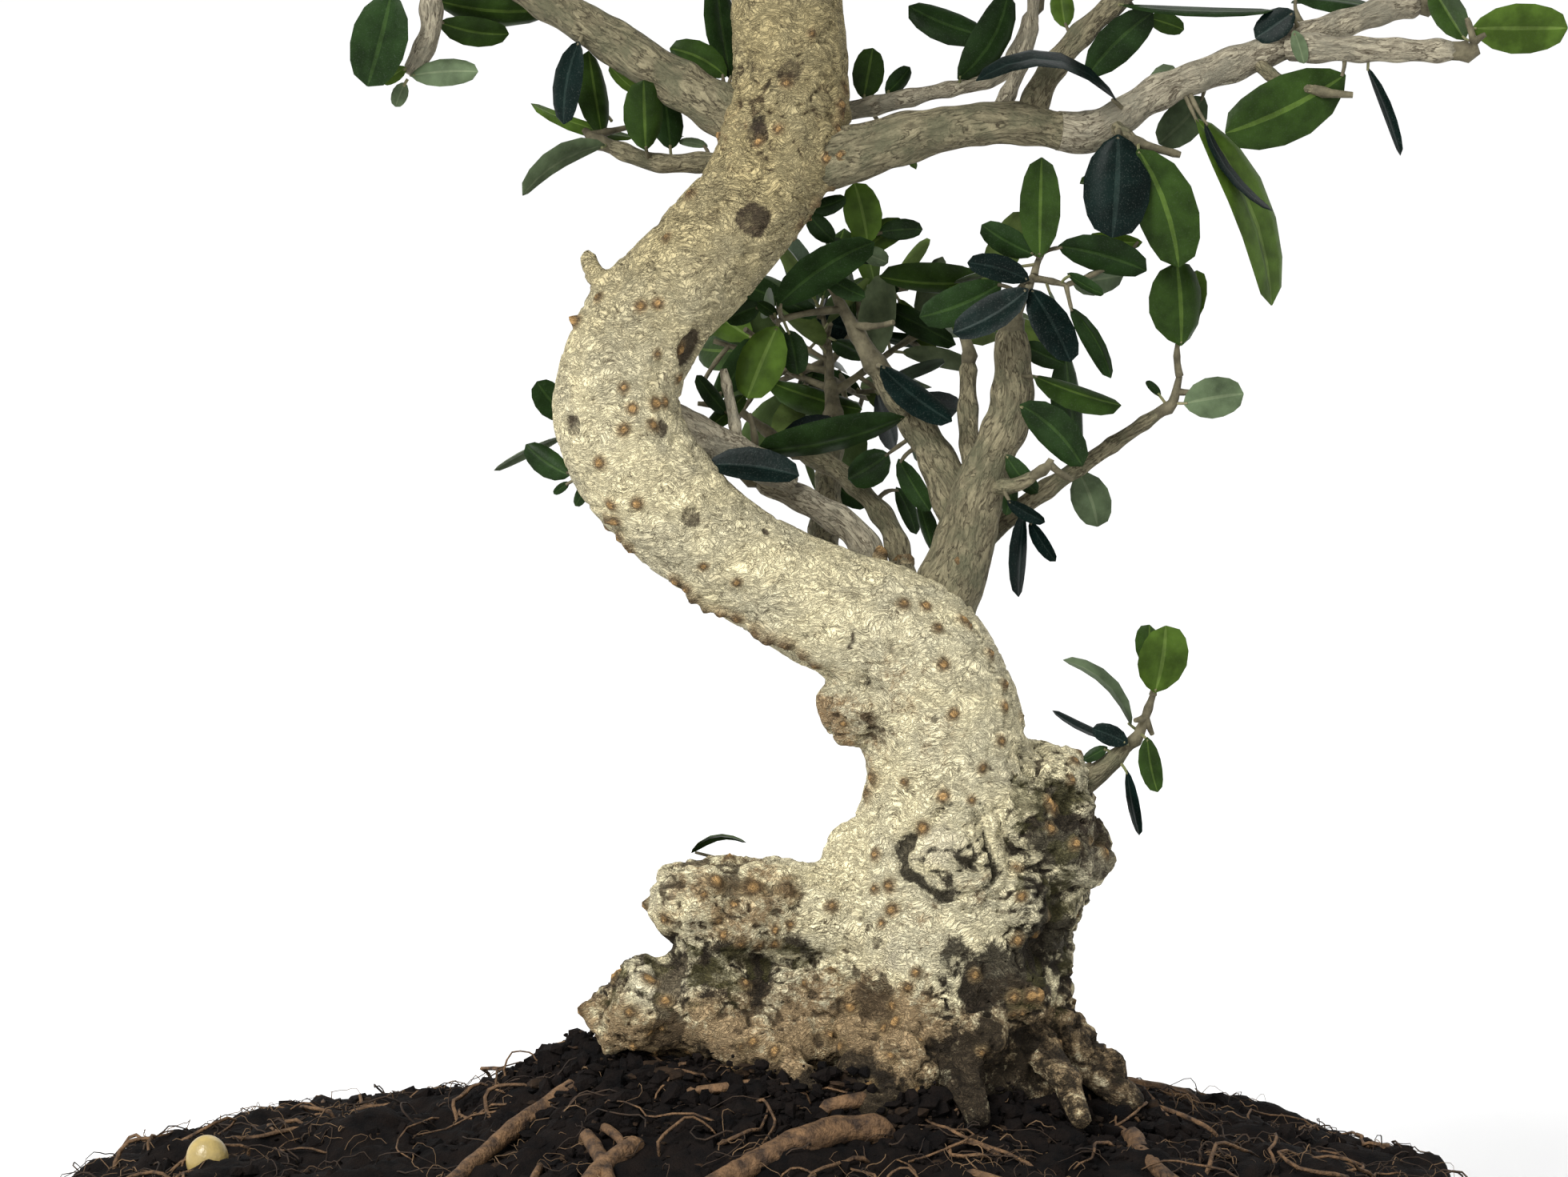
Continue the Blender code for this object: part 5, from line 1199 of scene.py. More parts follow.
# Leaves of the lower crown: root x and z, tip x and z, width across the line of sight and depth before (-) or
# behind the nearest wood, all in millimetres; the tone; and the share of its length that it bows sideways.
DARK, GREEN, FRESH_AND_BACKLIT, BLUE, GREY = Tone
PLACED_LEAVES = (
    (-68, 265.1, -73, 247.8, 11.7, -3, DARK), (-60.8, 264.2, -38.7, 262.7, 7.5, 5.5, GREEN, -0.06),
    (-60, 260, -47.1, 257.6, 5.7, 4, GREEN, -0.05), (-64.8, 249.8, -52.2, 250.5, 5.4, -2, GREY),
    (-65.7, 251.3, -70, 248.3, 3, -1, FRESH_AND_BACKLIT), (-66, 248.6, -68, 244.1, 3.3, 0, GREY),
    (-28.9, 237, -43.8, 227.3, 4.2, -3, GREY, -0.1), (-29.7, 239, -31.9, 255.2, 6.3, 0, GREEN),
    (-33.6, 256.2, -37.2, 240.9, 5.7, -5, BLUE, -0.05), (-21.3, 236, -21.6, 249, 8.1, -3.5, GREEN),
    (-16.8, 236.3, -18, 246.8, 6, 2, DARK), (-23.7, 238.7, -43.2, 245.3, 3.06, 5, FRESH_AND_BACKLIT, 0.05),
    (-22.2, 246.5, -28.2, 251.9, 2.7, 5, FRESH_AND_BACKLIT), (-6.3, 249.8, -16.8, 255.2, 6.3, 5, GREEN, -0.08),
    (-5.4, 249.2, -8.2, 268.1, 6.3, 6, DARK), (-9.8, 236.8, -15.3, 237.8, 2.1, 3, GREY),
    (19.5, 245.8, 21.4, 255.5, 6.3, 3, GREEN), (23.7, 246.8, 28.3, 251.9, 3.9, 3, DARK),
    (25.2, 241.7, 29.5, 232.7, 2.4, 7, FRESH_AND_BACKLIT), (21.8, 242, 26.4, 239.6, 1.8, 5, FRESH_AND_BACKLIT),
    (43.5, 257.6, 28.2, 263.9, 6.9, 4, DARK, 0.05), (37.2, 249.5, 46.8, 265.4, 7.8, -2, DARK, -0.1),
    (65.4, 245, 39.6, 248.6, 3.9, -6, BLUE, -0.22), (60.6, 249.5, 72.9, 261.2, 8.1, 2, DARK, 0.05),
    (57, 258.8, 56.2, 266.3, 4.8, 7, FRESH_AND_BACKLIT), (66.3, 262.7, 94.8, 261.9, 2.2, -3, DARK, -0.02),
    (72.3, 260.6, 79.3, 258.5, 4.2, 5, GREEN), (98.7, 261.5, 91.5, 256.7, 6, -4, BLUE),
    (98.4, 257.9, 100.2, 251.8, 3, -6, GREY), (99.3, 264.5, 115.8, 263.1, 3.6, 5.5, DARK),
    (74.5, 243.2, 76.8, 251.6, 6.3, 5, GREY, 0.1), (82.8, 245.9, 74.4, 237.2, 7.8, 6, GREY),
    (107.8, 249.8, 85.6, 239, 12.6, -1, GREEN, 0.04), (111.8, 251.3, 117.9, 234.7, 1.9, 1, BLUE, 0.03),
    (129.8, 256.1, 124.5, 265.7, 6.9, 3, GREEN), (130.8, 258.2, 149.2, 258.2, 9.9, 0, FRESH_AND_BACKLIT),
    (65.4, 238.7, 64.3, 219.9, 13.2, -7, BLUE), (69, 236, 76.8, 214.4, 11.4, -3, GREEN, 0.06),
    (71.1, 219, 61.2, 219.8, 4.2, 0, FRESH_AND_BACKLIT), (78.5, 199.7, 77.4, 215.3, 11.4, -2, GREEN),
    (80.4, 241.7, 96.3, 207.9, 9, -3, FRESH_AND_BACKLIT, 0.08), (81.9, 241.1, 94.5, 225.2, 2.7, -5, BLUE, -0.1),
    (79.2, 188.8, 90.5, 190.7, 8.1, -1, GREY), (75, 190.1, 72.5, 193.1, 1.9, 0, DARK),
    (60, 175.7, 63.9, 165.2, 7.8, 2, GREY, 0.05), (51.8, 216.2, 51.9, 234.5, 8.4, -4, GREEN),
    (51, 216.7, 41.1, 222.3, 5.4, -2, DARK, 0.04), (55.2, 218.3, 71.8, 213.2, 6.9, -4, DARK, 0.04),
    (57, 213.2, 63.6, 209.4, 2.5, -2, DARK), (49.8, 212, 38.4, 215.3, 5.4, -5, BLUE, -0.05),
    (49.4, 210.5, 35.4, 202.7, 7.2, -8, BLUE, 0.06), (49.9, 210.5, 57, 197.3, 7.2, -8, BLUE, 0.03),
    (57.6, 206.9, 64.8, 193.7, 4, -2, DARK, 0.08), (50.7, 194.3, 67.3, 189.2, 5.1, -5, GREEN, -0.03),
    (48.3, 188.9, 59.5, 177.5, 7.5, -4, DARK, 0.08), (60, 177.9, 57.9, 197.9, 6.6, 3, DARK),
    (45.8, 179.6, 51.6, 172.4, 4, -3.5, DARK, -0.05), (45.9, 171.2, 52.9, 167.1, 3.1, -3, BLUE),
    (49.5, 168.5, 48.3, 152.6, 3.8, -4, BLUE), (50.7, 166.7, 55.4, 159.1, 3.1, -3, BLUE),
    (48.6, 200, 57, 196.2, 4.8, 2.5, DARK), (47.4, 174.5, 45.9, 168.2, 2.9, 2.5, DARK),
    (20.2, 218.6, 17.7, 230, 7.8, -2, FRESH_AND_BACKLIT), (22.2, 220.7, 30.6, 221.3, 4.2, 1, DARK),
    (8.4, 224.9, 16.1, 227.4, 3.9, 4.5, DARK, -0.05), (9, 224.3, 13.9, 219.2, 4.5, 4, DARK),
    (3.3, 207, 21.3, 218.9, 8.1, -5, DARK, 0.06), (19.2, 216.9, 24.1, 215, 4, 0, GREY),
    (43.8, 211.7, 22.9, 212, 6.6, 3, GREEN, 0.05), (45, 211.4, 29.7, 205.1, 7.8, 1, DARK, 0.05),
    (21.9, 206.4, 37.6, 198.2, 5.4, -4, DARK, 0.03), (34.8, 198.5, 23.1, 199.7, 3, -2, DARK, 0.05),
    (22.6, 195.9, 35.9, 185.6, 5.7, -7, BLUE, -0.04), (8.7, 203.3, 20.7, 199.7, 7.2, -6, BLUE),
    (3.3, 203.3, -2.4, 189.9, 9, -7, FRESH_AND_BACKLIT), (5.4, 202.4, 7, 194, 5.4, -1, DARK),
    (0, 206.9, -6.6, 204.2, 5.1, 2, DARK), (3.3, 205.2, -0.6, 207.7, 2.7, 0, DARK),
    (1.2, 191.3, 19.8, 186.2, 5.7, -2, GREEN, -0.03), (19.8, 189.2, 7.8, 192.8, 5.7, 0, DARK, 0.03),
    (27.1, 186.3, -0.6, 179.4, 6.9, -7, DARK, 0.05), (-9.6, 178.1, 7.3, 176, 6.9, -7.5, BLUE, 0.05),
    (24.3, 179, 16.5, 174.2, 7.2, 2, DARK), (12, 173, 20.7, 167.6, 5.4, 3, DARK),
    (26.1, 178.1, 31.8, 168.2, 4.8, 2, DARK), (21.6, 209.3, 27.1, 209.6, 2.5, -3, DARK),
    (3, 208.7, 10.8, 204.8, 3.9, 0, DARK), (12, 212.8, 19.8, 208.7, 3.9, -1, DARK),
    (-8.1, 189.2, -1.2, 200.3, 5.7, 4, DARK), (21, 215, 13.5, 219.5, 3, 3, DARK),
    (-36.6, 185.6, -42.4, 192.5, 6.3, 3, DARK, 0.05), (-35.1, 176, -43.4, 181.6, 5.7, 2, DARK, 0.06),
    (-36.9, 182.3, -50.5, 176, 2.2, 0, GREY), (-35.2, 174.8, -38.1, 172.6, 1.8, 1, DARK),
    (-32.2, 174.5, -34.4, 170.1, 2.5, 4, DARK), (73.8, 135.1, 75.3, 148.1, 9.9, -1, FRESH_AND_BACKLIT),
    (69.5, 128.6, 57, 141.2, 2.9, -1, GREY, -0.14), (67.5, 125.6, 54.9, 131.4, 1.8, 0, BLUE, 0.06),
    (68.7, 125.6, 62.1, 128.3, 4.2, -3, BLUE), (65.1, 124.7, 60.6, 122.2, 2.5, -1, DARK),
    (72.3, 126.9, 74.2, 116.6, 4.6, -3, GREEN), (68.7, 120.5, 71.2, 108, 2.2, -2, BLUE, -0.03),
    (-12.9, 104.6, -2.5, 106.8, 1.8, -1, DARK, 0.2), (-9, 188, -2.2, 198.5, 4.5, 7, DARK),
    (-6, 186.5, -12, 194, 3.2, 9, DARK), (-10.5, 183.5, -3, 190.5, 3.6, 8, GREEN), (26, 172, 30, 163, 3.4, 6, DARK),
    (30, 170, 33, 160, 3.6, 9, DARK),
)


@dataclass
class Leaf:
    """One blade: where its root is, which way it goes and faces, its sizes, tone and bends."""

    base: Array
    along: Array
    normal: Array
    length: float
    width: float
    tone: Tone
    bow: float = 0.0
    arch: float = 0.0
    cup: float = 0.0
    bow_way: Array | None = None


@dataclass
class LeafShape:
    """The shape all blades share: a bowed and arched midrib with a lens-shaped outline across it."""

    shares: Row = (0.0, 0.07, 0.22, 0.42, 0.62, 0.80, 0.93, 1.0)
    ring: tuple[Row, ...] = ((1.0, -0.10), (0.5, 0.10), (0.08, -0.01), (-0.08, -0.01), (-0.5, 0.10), (-1.0, -0.10),
                             (-0.35, -0.16), (0.35, -0.16))
    ring_slots: tuple[int, ...] = (0, 0, 1, 0, 0, 2, 2, 2)

    def outline(self) -> Array:
        """Half-width over the midrib: (4u(1-u)) to the power 0.68 - 0.26u, never quite 0."""
        u = np.array(self.shares)
        return np.maximum((4 * u * (1 - u)) ** (0.68 - 0.26 * u), 0.035)

    def blades(self, leaves: Sequence[Leaf]) -> Surface:
        """All the blades as one surface: midrib = base + length * (u along + bow 4u(1-u) side - arch u2 normal).

        Args:
            leaves: The blades.

        Returns:
            Closed thin shells with material numbers 0 above, 1 on the rib and 2 below.
        """
        base, along, normal = (unit_rows(leaves, name) for name in ("base", "along", "normal"))
        length, width, bow, arch, cup = (np.array([getattr(leaf, name) for leaf in leaves])[:, None]
                                         for name in ("length", "width", "bow", "arch", "cup"))
        u = np.array(self.shares)[None, :]
        side = np.array([np.cross(leaf.normal, leaf.along) if leaf.bow_way is None else leaf.bow_way
                         for leaf in leaves])
        path = base[:, None] + length[..., None] * (
            u[..., None] * along[:, None] + (bow * 4 * u * (1 - u))[..., None] * side[:, None]
            - (arch * u ** 2)[..., None] * normal[:, None])
        tangent = unit(np.gradient(path, axis=1))
        sides = unit(np.cross(np.broadcast_to(normal[:, None], tangent.shape), tangent))
        ups = np.cross(tangent, sides)
        half = width / 2 * self.outline()[None]
        across, height = np.array(self.ring).T
        lift = cup[..., None] * (across ** 2)[None, None]
        rings = np.stack(np.broadcast_arrays(half[..., None] * across * (1 - 0.35 * np.abs(cup[..., None])),
                                             half[..., None] * (height + lift)), axis=-1)
        return swept(path, rings, sides, ups, self.ring_slots)


def unit_rows(leaves: Sequence[Leaf], name: str) -> Array:
    """One vector of every leaf as rows."""
    return np.array([np.array(getattr(leaf, name), float) for leaf in leaves])


def rows_of(points: Sequence[Vector]) -> Array:
    """Points as the rows of an array."""
    return np.array([tuple(p) for p in points])


def limb_balls(route: Array, spacing: float = 0.0012) -> Array:
    """Centres and radii of closely spaced balls that fill a limb."""
    dense = []
    for a, b in zip(route, route[1:]):
        count = max(1, int(np.linalg.norm(b[:3] - a[:3]) / spacing))
        dense += [a + (b - a) * k / count for k in range(count)]
    return np.array([*dense, route[-1]])


def frame_of(direction: Vector) -> tuple[Vector, Vector]:
    """Two unit vectors square to a direction and to each other."""
    aside = Vector((0, 0, 1)) if abs(direction.z) < 0.9 else Vector((1, 0, 0))
    first = direction.cross(aside).normalized()
    return first, direction.cross(first).normalized()


@dataclass
class GrowthRule:
    """The rule by which twigs and opposite pairs of leaves grow on from a limb inside a mass's reach."""

    clear: float = 0.0003
    leaf_clear: float = 0.0006
    leaf_apart: float = 0.0026
    knee: float = 0.0025
    pairs: int = 3
    golden_angle: float = math.radians(137.5)
    turn_play: float = 0.35
    first_twig: float = 0.22
    spread: float = math.radians(58)
    twig_share: Row = (0.50, 0.86)
    leaf_length: Row = (0.0160, 0.0230)
    leaf_width: Row = (0.50, 0.62)
    shoot_shares: Row = (0.30, 0.50, 0.68, 0.86)
    shoot_length: Row = (0.30, 0.48)
    twig_radius: float = 0.0008
    shoot_radius: float = 0.0005
    root_samples: int = 10
    limbs: Array = field(default_factory=lambda: np.zeros((0, 4)))

    def stem(self, mass: Mass, routes: dict[str, Array]) -> Array:
        """Stations of the mass's stem, which goes straight on from its limb's tip and then turns."""
        before, (*tip, radius) = routes[mass.limb][-2], routes[mass.limb][-1]
        tip = np.array(tip)
        direction = unit(tip - before[:3])
        start = tip + direction * self.clear
        knee = start + direction * self.knee
        return np.array([(*start, radius * 0.85), (*knee, radius * 0.765), (*mass.stem_end, 0.0006)])

    def is_free(self, points: Sequence[Vector], mass: Mass, margin: float) -> bool:
        """Whether points lie in the mass's ball, on its side of every neighbour's, and clear of the limbs."""
        points = rows_of(points)
        own = np.square(points - np.array(mass.centre)).sum(1) - mass.reach ** 2
        if own.max() > 0:
            return False
        for other in MASSES:
            gap = math.dist(mass.centre, other.centre)
            if other is mass or gap > mass.reach + other.reach:
                continue
            theirs = np.square(points - np.array(other.centre)).sum(1) - other.reach ** 2
            if (theirs - own).min() < 2 * gap * margin:
                return False
        apart = np.linalg.norm(points[:, None] - self.limbs[None, :, :3], axis=2) - self.limbs[None, :, 3]
        return bool(apart.min() > margin)

    def turned_out(self, axis: Vector, turn: float, spread: float) -> Vector:
        """The direction that leaves an axis at an angle of spread, on the side that turn says."""
        first, second = frame_of(axis)
        return axis * math.cos(spread) + (first * math.cos(turn) + second * math.sin(turn)) * math.sin(spread)

    def ruled_twigs(self, mass: Mass, start: Vector, end: Vector, rng: random.Random) -> Iterator[tuple]:
        """Roots and tips of twigs set round a stem at the golden angle, the last one carrying it on."""
        axis = (end - start).normalized()
        for k in range(mass.twigs + 1):
            last = k == mass.twigs
            share = 1.0 if last else self.first_twig + (1 - self.first_twig) * (k + 0.5) / mass.twigs
            root = start.lerp(end, share)
            turn = k * self.golden_angle + rng.uniform(-self.turn_play, self.turn_play)
            spread = 0.05 if last else self.spread * rng.uniform(0.7, 1.3)
            length = mass.reach * rng.uniform(*self.twig_share) * (0.6 if last else 1.0)
            yield root, root + self.turned_out(axis, turn, spread) * length, self.pairs

    def placed_twigs(self, mass: Mass, start: Vector, end: Vector) -> Iterator[tuple]:
        """Roots, tips and leaf pairs of twigs that run from the stem to given tips, at a forward slant."""
        axis = end - start
        for *place, pairs in mass.twigs:
            tip = Vector(place)
            foot = (tip - start).dot(axis) / axis.length_squared - 0.25
            yield start.lerp(end, max(0.45, min(1.0, foot))), tip, pairs

    def blade_wishes(self, root: Vector, tip: Vector, pairs: int, scale: float,
                     rng: random.Random) -> Iterator[list[tuple]]:
        """For each leaf of a twig, the blades to try: opposite pairs, each turned a quarter from the last."""
        along = (tip - root).normalized()
        side, up = frame_of(along)
        first_turn = rng.uniform(0, math.pi)
        for node in range(pairs):
            share = 0.97 - 0.57 * (pairs - 1 - node) / max(pairs - 1, 1)
            lean = math.radians(30 if node == pairs - 1 else 52)
            for way in (0, math.pi):
                wishes = []
                length = scale * rng.uniform(*self.leaf_length)
                width = length * rng.uniform(*self.leaf_width)
                for smaller in (1.0, 1.0, 0.85, 0.7):
                    turn = first_turn + node * math.pi / 2 + way + rng.uniform(-0.5, 0.5)
                    out = side * math.cos(turn) + up * math.sin(turn)
                    angle = lean + rng.uniform(-0.25, 0.25)
                    blade = along * math.cos(angle) + out * math.sin(angle)
                    normal = (along - blade * along.dot(blade)).normalized()
                    wishes.append((root.lerp(tip, share), blade, normal, length * smaller, width * smaller))
                yield wishes

    def side_shoots(self, root: Vector, tip: Vector, rng: random.Random) -> Iterator[tuple]:
        """Finer shoots off a twig at the golden angle, each a share of the twig's length."""
        axis = (tip - root).normalized()
        for k, share in enumerate(self.shoot_shares):
            turn = (k + 0.5) * self.golden_angle + rng.uniform(-self.turn_play, self.turn_play)
            spread = self.spread * rng.uniform(0.8, 1.2)
            length = (tip - root).length * rng.uniform(*self.shoot_length)
            start = root.lerp(tip, share)
            yield start, start + self.turned_out(axis, turn, spread) * length, 2

    def blade_points(self, blade: tuple, skip: int = 0) -> list[Vector]:
        """Sample points over a blade, without the first few at its root."""
        base, along, normal, length, width = blade
        across = along.cross(normal)
        points = [base + along * (length * share) + across * (width / 2 * side * (1 - abs(2 * share - 1)))
                  for share in (0.12, 0.25, 0.38, 0.50, 0.62, 0.75, 0.88, 1.0) for side in (-1, -0.5, 0, 0.5, 1)]
        return points[skip:]

    def crosses(self, blade: tuple, blades: Sequence[tuple]) -> bool:
        """Whether a blade comes too close to one that is there already, away from its own root."""
        own = rows_of(self.blade_points(blade, self.root_samples))
        for other in blades:
            if (other[0] - blade[0]).length > blade[3] + other[3]:
                continue
            points = rows_of(self.blade_points(other, self.root_samples))
            if np.linalg.norm(own[:, None] - points[None], axis=2).min() < self.leaf_apart:
                return True
        return False

    def grow(self, mass: Mass, stem: Array) -> tuple[list[tuple], list[tuple]]:
        """Twigs and blades of one mass that keep to its space, by the seeded rule, then its finer shoots.

        Args:
            mass: The mass.
            stem: Its stem's stations.

        Returns:
            Twigs as (root, tip, radius), and blades as (base, along, normal, length, width, twig number).
        """
        rng = random.Random(mass.seed)
        start, end = Vector(stem[1][:3]), Vector(stem[2][:3])
        ruled = isinstance(mass.twigs, int)
        wanted = list(self.ruled_twigs(mass, start, end, rng) if ruled else self.placed_twigs(mass, start, end))
        twigs, blades = [], []
        self.grow_on(wanted, mass, self.twig_radius, rng, twigs, blades)
        finer = random.Random(mass.seed + 1000)
        for root, tip, _ in list(twigs):
            self.grow_on(list(self.side_shoots(root, tip, finer)), mass, self.shoot_radius, finer,
                         twigs, blades)
        return twigs, blades

    def grow_on(self, wanted: Sequence[tuple], mass: Mass, radius: float, rng: random.Random,
                twigs: list[tuple], blades: list[tuple]) -> None:
        """Adds the wanted twigs that are free, shortened where need be, and their leaves, to the lists."""
        for root, tip, pairs in wanted:
            for shorter in (1.0, 0.75, 0.5):
                short_tip = root.lerp(tip, shorter)
                checks = [root.lerp(short_tip, share) for share in (0.12, 0.25, 0.4, 0.55, 0.7, 0.85, 1.0)]
                if self.is_free(checks, mass, self.leaf_clear + self.twig_radius):
                    twigs.append((root, short_tip, radius))
                    break
            else:
                continue
            root, tip, _ = twigs[-1]
            for wishes in self.blade_wishes(root, tip, pairs, mass.leaf_scale, rng):
                for blade in wishes:
                    points = self.blade_points(blade)
                    if self.is_free(points, mass, self.leaf_clear) and not self.crosses(blade, blades):
                        blades.append(blade)
                        twigs[-1] = (root, tip, radius)
                        break


@dataclass
class Foliage:
    """Every leaf, leaf stalk, stem and twig of the crown."""

    shape: LeafShape = field(default_factory=LeafShape)
    rule: GrowthRule = field(default_factory=GrowthRule)
    seed: int = 404
    lean_play: float = 0.30
    roll_play: float = 0.50
    fullest_width: float = 0.46
    stalk_radius: float = 0.00032
    twiglet_radius: float = 0.00055
    twiglet_from: float = 0.0030
    hidden_share: float = 0.8
    dense_share: float = 0.5
    dense: tuple[str, ...] = ("leaves_low_inner", "leaves_low_front", "leaves_low_shoot", "leaves_low_far")
    leafy_reach: float = 0.0042
    twigs: list[Array] = field(default_factory=list)
    stalks: list[Array] = field(default_factory=list)
    leaves: list[Leaf] = field(default_factory=list)

    def bent(self, start: Array, end: Array, radius: float, tip_radius: float, sag: Array) -> Array:
        """Nine stations from start to end, bowed by sag times 4t(1-t), thinner towards the end."""
        t = np.linspace(0, 1, 9)[:, None]
        return np.hstack([start + (end - start) * t + sag * 4 * t * (1 - t), radius + (tip_radius - radius) * t])

    def grow(self) -> None:
        """Fills the lists: the masses' stems and twigs, the placed leaves, then the leaves by the rule."""
        routes = {"trunk": smooth_route(TRUNK_STATIONS, 2)} | {limb.name: limb.rule_route() for limb in LIMBS}
        branches = [smooth_route(stations, 2) for stations in TRUNK_BRANCHES]
        burls = np.array([(*centre, max(sizes)) for centre, sizes in BURLS])
        bare = np.vstack([limb_balls(route) for route in (*routes.values(), *branches)] + [burls])
        stems = {mass.name: self.rule.stem(mass, routes) for mass in MASSES}
        rng = random.Random(self.seed)
        by_rule: list[tuple[Mass, tuple, int]] = []
        for mass in MASSES:
            others = [limb_balls(stem) for name, stem in stems.items() if name != mass.name]
            self.rule.limbs = np.vstack([bare, *others])
            stem = stems[mass.name]
            twigs, blades = self.rule.grow(mass, stem)
            inside = stem[0] + (stem[0] - stem[1]) * np.array([1.0, 1.0, 1.0, 0.0])
            self.twigs.append(resampled(smooth_route(np.vstack([inside, stem]), 6), 0.0012))
            for root, tip, radius in twigs:
                if mass.name in PLACED_MASSES and (radius < 0.0007 or not self.is_leafy(tip)):
                    continue
                sag = np.array([rng.uniform(-1, 1) for _ in range(3)]) * 0.05 * (tip - root).length
                self.twigs.append(self.bent(np.array(root), np.array(tip), radius, 0.00045, sag))
            by_rule += [(mass, blade, k) for k, blade in enumerate(blades)]
        wood = np.vstack([limb_balls(route) for route in routes.values()]
                         + [limb_balls(extra.rule_route()) for extra in Boughs().extra]
                         + [limb_balls(twig) for twig in self.twigs])
        self.place_leaves(wood, rng)
        self.rule_leaves(by_rule, rng)

    def is_leafy(self, tip: Vector) -> bool:
        """Whether a placed leaf grows within reach of a twig's tip, seen from the best side."""
        return any(math.hypot(row[0] * MM - tip.x, row[1] * MM - tip.z) < self.leafy_reach for row in PLACED_LEAVES)

    def place_leaves(self, wood: Array, rng: random.Random) -> None:
        """Leaves at their given places: depth from the nearest wood, faced forwards with a seeded roll and lean.

        Args:
            wood: Balls along all the limbs and twigs.
            rng: The seeded draws.
        """
        for root_x, root_z, tip_x, tip_z, apparent, ahead, tone, *rest in PLACED_LEAVES:
            gap = np.hypot(wood[:, 0] - root_x * MM, wood[:, 2] - root_z * MM) - 0.6 * wood[:, 3]
            foot = wood[np.argmin(gap)]
            base = np.array([root_x * MM, foot[1] + ahead * MM, root_z * MM])
            seen = np.array([(tip_x - root_x) * MM, 0.0, (tip_z - root_z) * MM])
            reach = float(np.linalg.norm(seen))
            lean = rng.uniform(-self.lean_play, self.lean_play) - (0.12 if ahead < 0 else -0.12)
            axis = seen + np.array([0.0, lean * reach, 0.0])
            length, along = float(np.linalg.norm(axis)), unit(axis)
            facing = unit(np.array([0.0, -1.0, 0.0]) - along * -along[1])
            share = apparent * MM / (self.fullest_width * reach)
            widest = math.acos(min(1.0, max(0.35, share)))
            roll = rng.choice((-1, 1)) * max(abs(rng.uniform(-self.roll_play, self.roll_play)), widest)
            normal = facing * math.cos(roll) + np.cross(along, facing) * math.sin(roll)
            self.leaves.append(Leaf(base, along, normal, length, apparent * MM / max(0.4, math.cos(roll)), tone,
                                    rest[0] if rest else rng.uniform(-0.04, 0.04),
                                    rng.uniform(-0.02, 0.06), rng.uniform(-0.25, 0.35), np.cross(facing, along)))
            self.stalk(foot, base, along, rng)

    def stalk(self, foot: Array, base: Array, along: Array, rng: random.Random) -> None:
        """A stalk, or a woody twiglet where it is long, from inside the wood to a blade's root."""
        start = foot[:3] + unit(base - foot[:3]) * foot[3] * 0.5
        far = float(np.linalg.norm(base - start))
        woody = far > self.twiglet_from
        radius = self.twiglet_radius if woody else self.stalk_radius
        sag = along * -0.12 * far + np.array([rng.uniform(-1, 1), 0.0, rng.uniform(-1, 1)]) * 0.04 * far
        route = self.bent(start, base + along * 0.0008, radius, self.stalk_radius * 0.9, sag)
        (self.twigs if woody else self.stalks).append(route)

    def rule_leaves(self, by_rule: Sequence[tuple[Mass, tuple, int]], rng: random.Random) -> None:
        """Leaves by the rule: all of them above the lower crown, and in it those hidden behind placed ones.

        Args:
            by_rule: Each mass's blades and their numbers.
            rng: The seeded draws.
        """
        placed = list(self.leaves)
        tones = (Tone.DARK, Tone.GREEN, Tone.GREEN, Tone.BLUE, Tone.DARK, Tone.FRESH_AND_BACKLIT, Tone.GREEN, Tone.GREY)
        for mass, blade, number in by_rule:
            base, along, normal, length, width = blade
            share = self.dense_share if mass.name in self.dense else self.hidden_share
            if mass.name in PLACED_MASSES and self.hidden(blade, placed) < share:
                continue
            tone = tones[(mass.seed + number // 6) % len(tones)]
            self.leaves.append(Leaf(np.array(base) + np.array(along) * 0.0022, np.array(along), np.array(normal),
                                    length * 0.93, width * rng.uniform(0.68, 0.92), tone,
                                    rng.uniform(-0.05, 0.05), rng.uniform(-0.02, 0.14), rng.uniform(-0.2, 0.35)))
            self.stalks.append(self.bent(np.array(base), np.array(base) + np.array(along) * 0.0030,
                                         self.stalk_radius * 1.1, self.stalk_radius * 0.9, np.zeros(3)))

    def hidden(self, blade: tuple, placed: Sequence[Leaf]) -> float:
        """The share of a blade's sample points that lie behind placed blades, seen from the best side."""
        points = rows_of(self.rule.blade_points(blade))[:, None]
        base, along = unit_rows(placed, "base")[None], unit_rows(placed, "along")[None]
        length = np.array([leaf.length for leaf in placed])[None]
        half = np.array([leaf.width for leaf in placed])[None] * 0.42
        flat = along * np.array([1.0, 0.0, 1.0])
        flat_length = np.linalg.norm(flat, axis=2) * length
        offset = (points - base) * np.array([1.0, 0.0, 1.0])
        run = (offset * unit(flat)).sum(2)
        aside = np.sqrt(np.maximum((offset ** 2).sum(2) - run ** 2, 0))
        share = np.clip(run / flat_length, 0, 1)
        inside = (run > 0) & (run < flat_length) & (aside < half * 4 * share * (1 - share))
        behind = points[..., 1] > base[..., 1] + 0.002
        return float((inside & behind).any(axis=1).mean())

